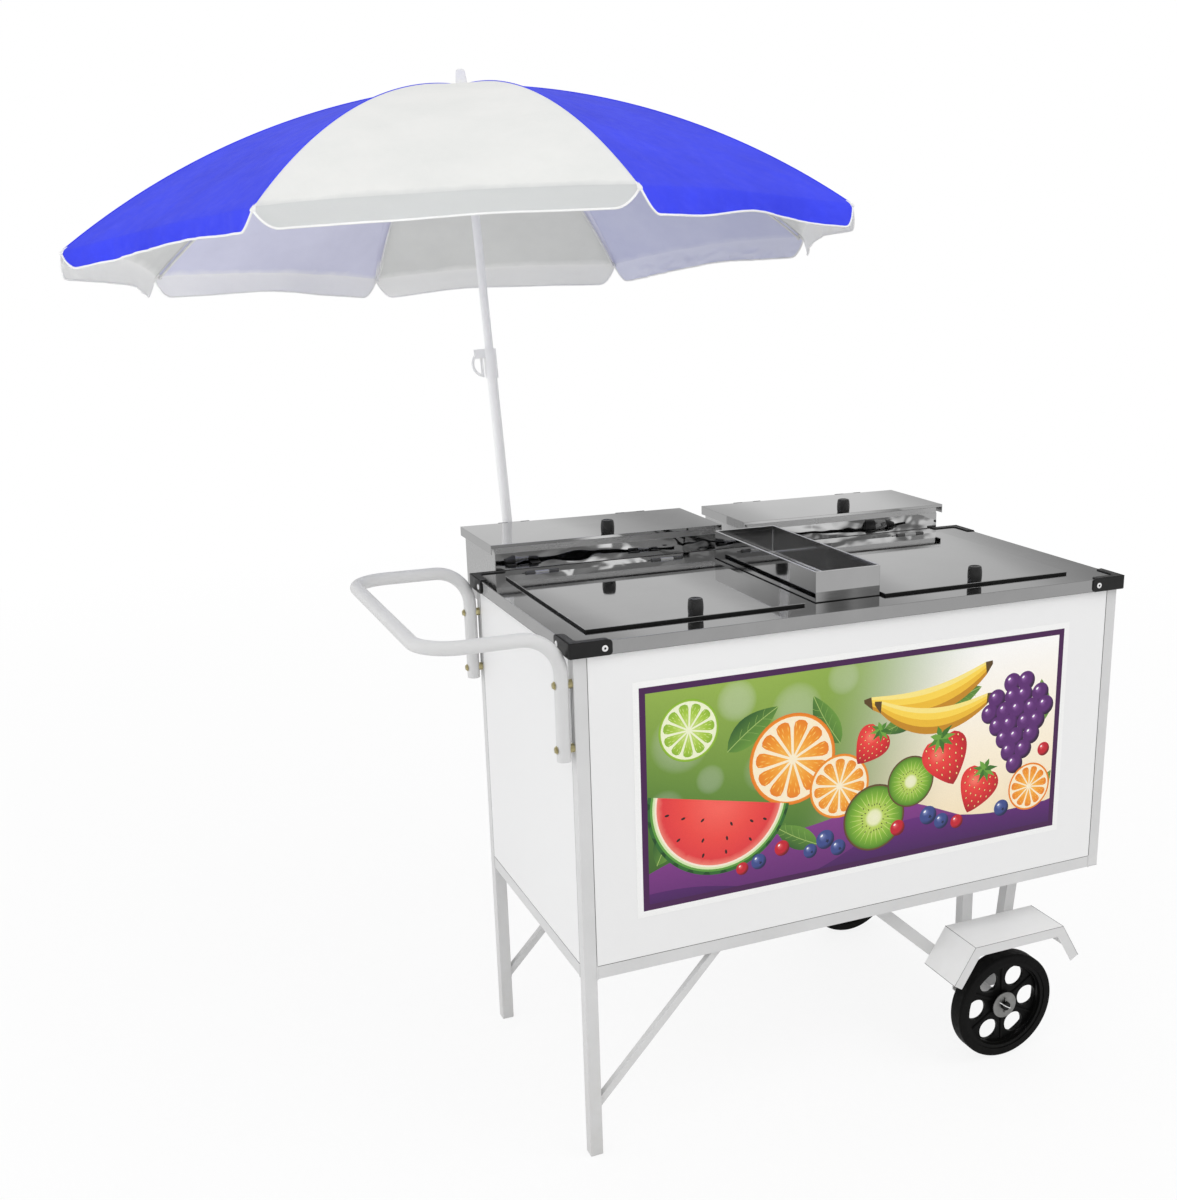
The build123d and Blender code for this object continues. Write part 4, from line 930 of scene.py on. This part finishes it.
def tray_edges():
    """Rolled rim, welded corners and bent floor edges of the tray, lighter for a painted highlight; a dark foot
    line of painted shadow.
    """
    work = Build()
    x0, x1, y0, y1, floor, top, turn_r = -78.8, 60.8, -228.8, 223.8, 1021.2, 1080.0, 2.5
    rim, quarter = [], [math.pi / 2 * i / 5 for i in range(6)]
    for k, (x, y) in enumerate(((x1, y1), (x0, y1), (x0, y0), (x1, y0))):
        cx, cy = x - math.copysign(turn_r, x), y - math.copysign(turn_r, y)
        turns = [a + k * math.pi / 2 for a in quarter]
        rim += [cart(cx + turn_r * math.cos(a), cy + turn_r * math.sin(a), top) for a in turns]
    # The rim takes the lighter steel, a painted highlight; so do the fillets below.
    work.tube(rim, 1.4, 12, closed=True)
    for x, dx in ((x0, 1), (x1, -1)):
        cove(work, (x, y0, floor), (x, y1, floor), (dx, 0, 0), (0, 0, 1), 3.0)
        for y, dy in ((y0, 1), (y1, -1)):
            cove(work, (x, y, floor), (x, y, top - 8), (dx, 0, 0), (0, dy, 0), 2.5)
    for y, dy in ((y0, 1), (y1, -1)):
        cove(work, (x0, y, floor), (x1, y, floor), (0, dy, 0), (0, 0, 1), 3.0)
    # Painted shadow: a dark tube round the tray's foot stands for the shade under it.
    foot = [cart(x, y, 1020.9) for x, y in ((-80, -230), (62, -230), (62, 225), (-80, 225))]
    work.tube(foot, 0.9, 8, 1, closed=True)
    work.make("tray_edges", [RIM_STEEL, RUBBER_AND_SHADE], "tray")


box_fronts()
knobs()
corner_guards()
tray_edges()
axle_clips()
guard_rivets()
handle_bolts()
weld_beads()
panel_joints()
mudguard_folds()
wheel_ribs("wheel_near", -1)
wheel_ribs("wheel_far", 1)


# Banner: a printed vinyl sheet. The print is flat outlines laid over each other, each with its own
# colour over the plane, cut into one mesh; x and z are millimetres from the sheet's lower left corner.
SHEET_W, SHEET_H, SHEET_T = 960.0, 457.0, 0.5
SHEET_LEFT, SHEET_LOW, SHEET_FACE = -485.0, 478.0, -299.0
MARGIN, BORDER = 12.0, 12.0


def shades(stops, share):
    """A colour between stops of (share, hex code)."""
    share = min(max(share, stops[0][0]), stops[-1][0])
    for (a, low), (b, high) in zip(stops, stops[1:]):
        if share <= b:
            k = (share - a) / (b - a) if b > a else 1.0
            return tuple(p + (q - p) * k for p, q in zip(rgb(low), rgb(high)))
    return rgb(stops[-1][1])


def fade(x, z, size, stops):
    """Paint that runs through its stops from a middle outwards."""
    return lambda px, pz: shades(stops, math.hypot(px - x, pz - z) / size)


def turned(points, x, z, size, turn=0.0):
    c, s = math.cos(math.radians(turn)), math.sin(math.radians(turn))
    return [(x + size * (p * c - q * s), z + size * (p * s + q * c)) for p, q in points]


def scaled(points, wide, high=None):
    return [(p * wide, q * (wide if high is None else high)) for p, q in points]


def ring(radius=1.0, sides=40, shift=(0.0, 0.0)):
    turns = [math.tau * i / sides for i in range(sides)]
    return [(shift[0] + radius * math.cos(a), shift[1] + radius * math.sin(a)) for a in turns]


class Print:
    """Outlines with their paint. A fruit's place is its x, z, size and turn in degrees."""

    def __init__(self):
        self.points, self.faces, self.paint = [], [], []

    def lay(self, outline, paint):
        """Adds an outline, turned to run counter-clockwise."""
        turn = sum(a[0] * b[1] - b[0] * a[1] for a, b in zip(outline, outline[1:] + outline[:1]))
        base = len(self.points)
        self.points += [Vector(p) for p in (outline if turn > 0 else outline[::-1])]
        self.faces.append(list(range(base, base + len(outline))))
        self.paint.append(paint)

    def flat(self, outline, code):
        colour = rgb(code)
        self.lay(outline, lambda x, z: colour)

    def stamp(self, shape, code, *place):
        self.flat(turned(shape, *place), code)

    def ball(self, x, z, size, stops, glow=(0.0, 0.0)):
        """A round shape shaded from a bright point at glow out to its edge."""
        far = 1 + 0.6 * math.hypot(*glow)
        paint = fade(x + glow[0] * size, z + glow[1] * size, size * far, stops)
        for share in (1.0, 0.86, 0.66, 0.44, 0.22):
            shift = (glow[0] * (1 - share), glow[1] * (1 - share))
            self.lay(turned(ring(share, 36 if share > 0.5 else 18, shift), x, z, size), paint)

    def strip(self, path, width, code):
        """A line along a path."""
        left, right = [], []
        for i, (x, z) in enumerate(path):
            ax, az = path[max(i - 1, 0)]
            bx, bz = path[min(i + 1, len(path) - 1)]
            w = width / 2 / math.hypot(bx - ax, bz - az)
            left.append((x - (bz - az) * w, z + (bx - ax) * w))
            right.append((x + (bz - az) * w, z - (bx - ax) * w))
        self.flat(left + right[::-1], code)

    def leaf(self, *place):
        size, light, dark = place[2], "6FA03A", "2F5F24"
        rows = [i / 10 for i in range(11)]
        edge = [(t - 0.5, 0.21 * math.sin(math.pi * t ** 0.8) ** 0.9) for t in rows]
        mid = [(t - 0.5, 0.03 * math.sin(math.pi * t)) for t in rows]
        (ax, az), *_, (bx, bz) = turned(mid, *place)

        def paint(near, far):
            """From the middle vein out to the edge."""
            return lambda px, pz: shades([(0, near), (1, far)], 0.5 + 2.2 * abs(
                (bx - ax) * (pz - az) - (bz - az) * (px - ax)) / size ** 2)

        for sign, near, far in ((1, light, dark), (-1, dark, light)):
            half = mid + [(p, sign * q + 0.03 * math.sin(math.pi * (p + 0.5))) for p, q in edge[-2:0:-1]]
            self.lay(turned(half, *place), paint(near, far))
        self.strip(turned(mid, *place), size * 0.012, "A8C46A")
        for t in (0.25, 0.4, 0.55, 0.7):
            for sign in (1, -1):
                vein = [(t - 0.5, 0.02), (t - 0.43, sign * 0.07 + 0.02), (t - 0.38, sign * 0.12)]
                self.strip(turned(vein, *place), size * 0.006, "8FB356")

    def citrus(self, x, z, size, turn, rind, pith, deep, pale):
        self.ball(x, z, size, [(0, rind), (0.9, rind), (1.0, deep)])
        self.stamp(ring(0.925), pith, x, z, size)
        flesh = fade(x, z, size, [(0, pale), (0.55, rind), (1, deep)])
        cell = [(0.09, 0), (0.44, -0.095), (0.68, -0.155), (0.79, -0.15), (0.845, -0.08), (0.855, 0),
                (0.845, 0.08), (0.79, 0.15), (0.68, 0.155), (0.44, 0.095)]
        drops = ((0.26, 0.0), (0.42, -0.05), (0.5, 0.05), (0.6, -0.09), (0.62, 0.02), (0.66, 0.1))
        for k in range(11):
            place = (x, z, size, turn + k * 360 / 11)
            self.lay(turned(cell, *place), flesh)
            for start, off in drops:
                drop = [(start, off), (start + 0.08, off * 1.15 - 0.012), (start + 0.14, off * 1.25),
                        (start + 0.08, off * 1.15 + 0.012)]
                self.stamp(drop, pale, *place)

    def kiwi(self, x, z, size, turn):
        self.ball(x, z, size, [(0, "7D5B30"), (0.9, "7D5B30"), (1, "553B1C")])
        flesh = fade(x, z, size, [(0, "F4F3D6"), (0.2, "EDEFC0"), (0.3, "BFD65A"), (0.62, "86B832"),
                                  (0.9, "5B9420"), (0.93, "4A7F1B")])
        for share in (0.94, 0.8, 0.62, 0.45, 0.3, 0.2):
            self.lay(turned(ring(share), x, z, size, turn), flesh)
        ray = [(0.24, 0), (0.5, -0.014), (0.84, 0), (0.5, 0.014)]
        for k in range(26):
            self.stamp(ray, "C6DC74", x, z, size, turn + k * 360 / 26)
        for k in range(30):
            near = 0.33 + 0.05 * math.sin(k * 2.4) + (0.07 if k % 2 else 0)
            seed = [(near, 0), (near + 0.03, -0.017), (near + 0.075, 0), (near + 0.03, 0.017)]
            self.stamp(seed, "1E1A14", x, z, size, turn + 6 + k * 12)

    def strawberry(self, *place):
        size, turn = place[2:]
        width = lambda t: 0.46 * math.sin(math.pi * t ** 0.62) ** 0.8 if 0 < t < 1 else 0.0
        side = [(width(i / 16), 0.5 - i / 16) for i in range(17)]
        outline = side[1:-1] + [(-p, q) for p, q in side[:0:-1]]
        glow_x, glow_z = -0.13, 0.16
        middle = turned([(glow_x, glow_z)], *place)[0]
        paint = fade(*middle, size * 0.72, [(0, "FF8A73"), (0.22, "F2403A"), (0.6, "D81E26"), (1.0, "96101C")])
        for share in (1.0, 0.8, 0.55, 0.3):
            inner = [(glow_x * (1 - share) + p * share, glow_z * (1 - share) + q * share) for p, q in outline]
            self.lay(turned(inner, *place), paint)
        for j, t in enumerate((0.2, 0.34, 0.48, 0.62, 0.75, 0.86)):
            wide = width(t)
            count = max(1, round(wide * 13))
            for k in range(count):
                p = (k + 0.5 + 0.25 * (j % 2)) / count * 2 - 1
                if abs(p) > 0.93:
                    continue
                p, q = p * wide * 0.93, 0.5 - t + 0.05 * p * p
                for a, b, code in ((0.022, 0.03, "A80F1B"), (0.013, 0.021, "FFDD8C")):
                    self.stamp([(p + u * a, q + v * b) for u, v in ring(1, 8)], code, *place)
        stalk = turned([(0, 0.44)], *place)[0]
        for k, angle in enumerate((-168, -132, -96, -52, -14, 24, 90, 150)):
            frond = [(0, 0.035), (0.12, 0.055), (0.3 if k < 6 else 0.22, 0), (0.12, -0.05), (0, -0.035)]
            self.stamp(frond, ("4E8A2B", "6FA83C", "3C7423")[k % 3], *stalk, size, turn + angle)

    def melon(self, x, z, size, turn):
        """A slice of watermelon, flat side up."""
        place = (x, z, size, turn)
        arc = [(math.cos(math.pi + math.pi * i / 40), math.sin(math.pi + math.pi * i / 40)) for i in range(41)]
        for share, code in ((1.0, "2C6A28"), (0.955, "5E9E3C"), (0.925, "D9EBB4"), (0.895, "FBEBD8")):
            self.stamp(scaled(arc, share), code, *place)
        for k in range(13):
            a = math.pi + math.pi * (k + 0.5) / 13
            dark = [(math.cos(a + w) * r, math.sin(a + w) * r) for w, r in
                    ((-0.05, 0.998), (-0.02, 0.96), (0.03, 0.96), (0.06, 0.998))]
            self.stamp(dark, "174A1A", *place)
        flesh = fade(x, z, size, [(0, "FF6B5E"), (0.5, "F2473F"), (0.8, "E5363A"), (0.88, "F58A78")])
        for share in (0.87, 0.78, 0.6, 0.4, 0.2):
            self.lay(turned(scaled(arc, share), *place), flesh)
        for r, share in ((0.3, 0.3), (0.34, 0.7), (0.5, 0.16), (0.52, 0.42), (0.5, 0.62), (0.53, 0.85),
                         (0.7, 0.1), (0.69, 0.27), (0.71, 0.46), (0.68, 0.6), (0.7, 0.76), (0.69, 0.9)):
            seed = [(r, 0), (r + 0.022, 0.016), (r + 0.055, 0.013), (r + 0.068, 0), (r + 0.055, -0.013),
                    (r + 0.022, -0.016)]
            self.stamp(seed, "241512", x, z, size, turn + 180 + 180 * share)

    def banana(self, x, z, size, turn, bend=1.0):
        rows = [i / 18 for i in range(19)]
        spine = [(t - 0.5, -bend * 0.55 * (0.25 - (t - 0.5) ** 2)) for t in rows]
        half = [0.012 + 0.085 * math.sin(math.pi * t) ** 0.55 for t in rows]
        offset = lambda k: [(p, q + w * k) for (p, q), w in zip(spine, half)]
        for down, code in ((-1.0, "C98A12"), (-0.45, "F2BE2E"), (0.1, "FFD94F"), (0.6, "FFE987")):
            self.stamp(offset(1.0) + offset(down)[::-1], code, x, z, size, turn)
        for end in (slice(0, 2), slice(17, 19)):
            self.stamp(offset(1.0)[end] + offset(-1.0)[end][::-1], "5B431B", x, z, size, turn)

    def berry(self, x, z, size, dark, mid, light, crown=False):
        self.ball(x, z, size, [(0, light), (0.3, mid), (0.75, mid), (1, dark)], (-0.34, 0.36))
        self.stamp(scaled(ring(1, 14), 0.16, 0.1), "FFFFFF", x - 0.4 * size, z + 0.44 * size, size, 40)
        if crown:
            star = [scaled([spot], 0.26 if i % 2 else 0.12)[0] for i, spot in enumerate(ring(1, 10))]
            self.stamp(star, dark, x + 0.25 * size, z - 0.2 * size, size, 20)

    def grapes(self, x, z, size, dark, mid, light):
        for k, count in enumerate((2, 4, 5, 4, 3, 2, 1)):
            for j in range(count):
                across = (j - (count - 1) / 2) * size * 1.62 + 3 * math.sin(5 * k + 3 * j)
                self.berry(x + across, z - k * size * 1.4, size, dark, mid, light)


def back_colour(x, z):
    """Leaf green on the left running to warm cream on the right, darker towards the lower left."""
    p, q = x / SHEET_W, z / SHEET_H
    green = shades([(0, "24471A"), (0.45, "4F7D2A"), (1, "9AB84C")], 0.75 * q + 0.25 * math.sin(3 * p + q))
    cream = shades([(0, "F6DFB2"), (0.5, "FFF3DC"), (1, "FFFFFF")], q)
    k = min(1, max(0, (p - 0.36 - 0.12 * (q - 0.5)) / 0.4))
    k = k * k * (3 - 2 * k)
    return tuple(a + (b - a) * k for a, b in zip(green, cream))


def haze(x, z, size, gain):
    """Paint of a soft pale spot over the background."""
    def paint(px, pz):
        share = gain * max(0, 1 - (math.hypot(px - x, pz - z) / size) ** 4)
        return tuple(c + (1 - c) * share for c in back_colour(px, pz))
    return paint


def slope(rise, low, high):
    return lambda px, pz: shades([(0, low), (1, high)], pz / rise)


ORANGE = ("F79A1E", "FFF0CF", "E8730C", "FFC65A")
PALE_ORANGE = ("F9A42B", "FFF0CF", "EA7B10", "FFCD6A")
LIME = ("A8CC3E", "F2F6D2", "7FAE26", "D6E88C")
GRAPE = ("2A0B33", "5C2470", "A36BB8")
BLUEBERRY = ("1B2348", "3B4B8C", "8E9CD0")
REDBERRY = ("6E0714", "C8142A", "FF7A7A")


def fruit_print():
    art = Print()
    rect = lambda a, b, c, d: [(a, b), (c, b), (c, d), (a, d)]
    art.lay(rect(0, 0, SHEET_W, SHEET_H), back_colour)
    art.points += [Vector((x, z)) for x in range(30, int(SHEET_W), 20) for z in range(30, int(SHEET_H), 20)]
    for x, z, size, gain in ((90, 330, 60, 0.16), (205, 395, 42, 0.2), (330, 360, 55, 0.18), (60, 205, 40, 0.12),
                             (430, 410, 36, 0.16), (260, 250, 44, 0.1), (150, 250, 30, 0.14)):
        for share in (1.0, 0.8, 0.55):
            art.lay(turned(ring(share), x, z, size), haze(x, z, size, gain))
    for rise, low, high in ((150, "5A1E6B", "8B3A8F"), (104, "3A1150", "6A2280")):
        hill = [(x, rise - 50 + 34 * math.sin(x / 165 + rise) + 16 * math.sin(x / 71)) for x in range(0, 961, 20)]
        art.lay([(0, 0)] + hill + [(SHEET_W, 0)], slope(rise, low, high))
    for place in ((70, 150, 120, 60), (330, 105, 110, 150), (238, 335, 130, 35), (395, 330, 120, 120),
                  (560, 300, 95, 200), (700, 330, 105, 20), (905, 300, 90, 100), (915, 105, 80, 60)):
        art.leaf(*place)
    art.banana(625, 375, 300, 8)
    art.banana(640, 338, 280, -4, 1.2)
    art.citrus(322, 262, 92, 10, *ORANGE)
    art.citrus(425, 190, 66, 24, *PALE_ORANGE)
    art.citrus(108, 352, 60, 5, *LIME)
    art.melon(170, 205, 148, -12)
    art.kiwi(505, 110, 70, 0)
    art.kiwi(588, 172, 54, 20)
    art.grapes(842, 345, 21, *GRAPE)
    art.strawberry(672, 205, 118, 18)
    art.strawberry(748, 128, 104, -24)
    art.strawberry(492, 262, 86, -40)
    art.citrus(880, 112, 52, 8, *ORANGE)
    for place in ((395, 84, 20), (424, 62, 17), (362, 66, 15), (632, 92, 20), (664, 74, 17), (812, 76, 18),
                  (250, 66, 16)):
        art.berry(*place, *BLUEBERRY, crown=True)
    for place in ((560, 78, 17), (702, 66, 15), (300, 84, 16), (215, 58, 13), (912, 190, 15)):
        art.berry(*place, *REDBERRY)
    for wide, code in ((MARGIN + BORDER, "46124E"), (MARGIN, "F6F6F5")):
        for box in ((0, 0, wide, SHEET_H), (SHEET_W - wide, 0, SHEET_W, SHEET_H), (0, 0, SHEET_W, wide),
                    (0, SHEET_H - wide, SHEET_W, SHEET_H)):
            art.flat(rect(*box), code)
    return art


def banner():
    art = fruit_print()
    spots, _, faces, _, _, owners = delaunay_2d_cdt(art.points, [], art.faces, 0, 1e-3)
    keep = [(f, max(o)) for f, o in zip(faces, owners) if o]
    mesh = bpy.data.meshes.new("banner_sheet")
    mesh.from_pydata([cart(SHEET_LEFT + p.x, SHEET_FACE, SHEET_LOW + p.y) for p in spots], [],
                     [f for f, _ in keep])
    ink = mesh.color_attributes.new("ink", "FLOAT_COLOR", "CORNER")
    corners = [art.paint[owner](*spots[v]) for f, owner in keep for v in f]
    for place, colour in zip(ink.data, corners):
        place.color = colour
    mesh.materials.append(PRINT)
    work = bmesh.new()
    work.from_mesh(mesh)
    rim = [e for e in work.edges if e.is_boundary]
    grown = bmesh.ops.extrude_edge_only(work, edges=rim)["geom"]
    bmesh.ops.translate(work, verts=[g for g in grown if isinstance(g, bmesh.types.BMVert)],
                        vec=(0, SHEET_T / 1000, 0))
    bmesh.ops.holes_fill(work, edges=[e for e in work.edges if e.is_boundary], sides=0)
    bmesh.ops.recalc_face_normals(work, faces=work.faces)
    work.to_mesh(mesh)
    work.free()
    obj = bpy.data.objects.new("banner_sheet", mesh)
    scene.collection.objects.link(obj)
    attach(obj, "cart")
    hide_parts("banner")


banner()


# Stage: pale floor that keeps the shadow, soft world and lamps. Stops are (place, grey).
FLOOR_GLOW, FLOOR_HALF, FLOOR_DROP = 0.86, 40, 4e-4
SOFT = [(0.0, 1.0), (0.35, 0.96), (1.0, 0.88)]
SKY = [(0.0, 1.0), (0.08, 0.9), (0.165, 0.7), (0.252, 0.585), (0.42, 0.45), (0.6, 0.44), (0.8, 0.5), (1.0, 0.55)]
STRIP_PERIOD, STRIP_AT, STRIP_LEAN = 14.58, -6.0, 2.06
STRIPS = [(0.0, 0.46), (0.15, 0.66), (0.45, 0.76), (0.65, 0.92), (0.8, 1.18), (1.0, 1.68)]
SCREEN_LOW, SCREEN_TOP, ASIDE = 0.078, 0.216, (0.243, 0.765)
SCREENS = [(0.0, 0.55), (0.1, 0.46), (0.2, 0.36), (0.225, 1.6), (0.255, 1.6), (0.285, 0.36), (0.38, 0.42),
           (0.45, 0.5), (0.49, 1.3), (0.62, 1.35), (0.7, 0.9), (0.74, 0.42), (0.78, 0.42), (0.81, 1.3), (1.0, 1.1)]
WALLS = [(0.0, 0.27), (0.56, 0.27), (0.575, 0.8), (0.595, 0.7), (0.61, 0.2), (0.645, 0.16), (0.66, 0.5),
         (0.67, 0.26), (1.0, 0.26)]


def stage_floor():
    m = Shader("floor")
    m.color(m.mix(m.noise(3, 3), (0.86, 0.86, 0.86, 1), (0.9, 0.9, 0.9, 1)))
    m.rough(m.uneven(0.75, 0.85, 30, 3))
    path, seen = m.seen()
    away = m.node("VectorMath", {0: m.coord}, operation="LENGTH").outputs["Value"]
    share = m.math("MULTIPLY", m.span(away, 1.0, 5.0, FLOOR_GLOW, 1.0), seen)
    shade = m.mix(path["Is Glossy Ray"], (1, 1, 1, 1), (0.62, 0.62, 0.62, 1))
    glow = m.node("Emission", {"Color": shade, "Strength": 1.0})
    blend = m.node("MixShader", {0: share, 1: m.bsdf.outputs[0], 2: glow.outputs[0]})
    m.put(m.tree.nodes["Material Output"].inputs["Surface"], blend.outputs[0])
    mesh = bpy.data.meshes.new("floor")
    corners = around((0, 0, -FLOOR_DROP), (FLOOR_HALF, 0, 0), (0, FLOOR_HALF, 0))
    mesh.from_pydata(corners, [], [(0, 1, 2, 3)])
    mesh.materials.append(m.mat)
    obj = bpy.data.objects.new("floor", mesh)
    scene.collection.objects.link(obj)


def stage_world():
    """White to the camera, soft light from all round. Polished metal sees a pale horizon with slanting
    strips behind the cart, and bright screens in a dim room in front of it."""
    world = bpy.data.worlds.new("studio")
    world.use_nodes = True
    scene.world = world
    w = Nodes(world.node_tree)
    x, y, z = w.node("SeparateXYZ", {0: w.node("TexCoord").outputs["Generated"]}).outputs
    soft = w.times(w.ramp(z, SOFT), w.span(y, -1.0, 0.2, 0.84, 1.0))
    azimuth = w.math("MULTIPLY_ADD", z, -STRIP_LEAN, w.math("ARCTAN2", x, y))
    swing = w.math("SINE", w.math("MULTIPLY_ADD", azimuth, 360 / STRIP_PERIOD,
                                  math.pi / 2 - math.tau * STRIP_AT / STRIP_PERIOD))
    strips = w.ramp(w.span(swing, -1.0, 1.0), STRIPS)
    behind = w.times(w.times(w.ramp(z, SKY), strips), w.span(x, 0.5, 0.62, 1.08, 0.86))
    aside = w.span(w.math("DIVIDE", x, w.math("MULTIPLY", y, -1.0)), *ASIDE)
    within = w.math("MULTIPLY", w.span(z, SCREEN_LOW - 0.02, SCREEN_LOW + 0.02),
                    w.span(z, SCREEN_TOP + 0.012, SCREEN_TOP - 0.012))
    walls = w.mix(w.span(z, 0.26, 0.45), w.ramp(aside, WALLS, "LINEAR"), (0.5, 0.5, 0.5, 1))
    before = w.mix(within, walls, w.ramp(aside, SCREENS, "LINEAR"))
    room = w.mix(w.span(y, -0.12, 0.12), before, behind)
    path, seen = w.seen()
    light = w.mix(path["Is Camera Ray"], w.mix(seen, soft, room), (1, 1, 1, 1))
    w.put(w.tree.nodes["Background"].inputs["Color"], light)


def lamp(name, place, aim, size, power, spread=180):
    data = bpy.data.lights.new(name, "AREA")
    data.shape = "RECTANGLE"
    data.size, data.size_y = size
    data.energy = power
    data.spread = math.radians(spread)
    obj = bpy.data.objects.new(name, data)
    obj.location = place
    obj.rotation_euler = (Vector(aim) - Vector(place)).to_track_quat("-Z", "Y").to_euler()
    obj.visible_glossy = False
    scene.collection.objects.link(obj)


stage_floor()
stage_world()
lamp("key", (-3.4, -3.2, 4.2), (0, 0, 0.9), (3.0, 3.0), 24)
lamp("left", (-4.4, 0.2, 1.6), (0, 0, 0.8), (3.0, 2.4), 30)
lamp("front", (2.6, -2.8, 4.6), (0.4, -0.4, 0.3), (3.0, 2.0), 44)
lamp("fill", (0.6, -2.8, 0.9), (-0.95, 0.8, 1.95), (0.7, 0.5), 0.4, 22)
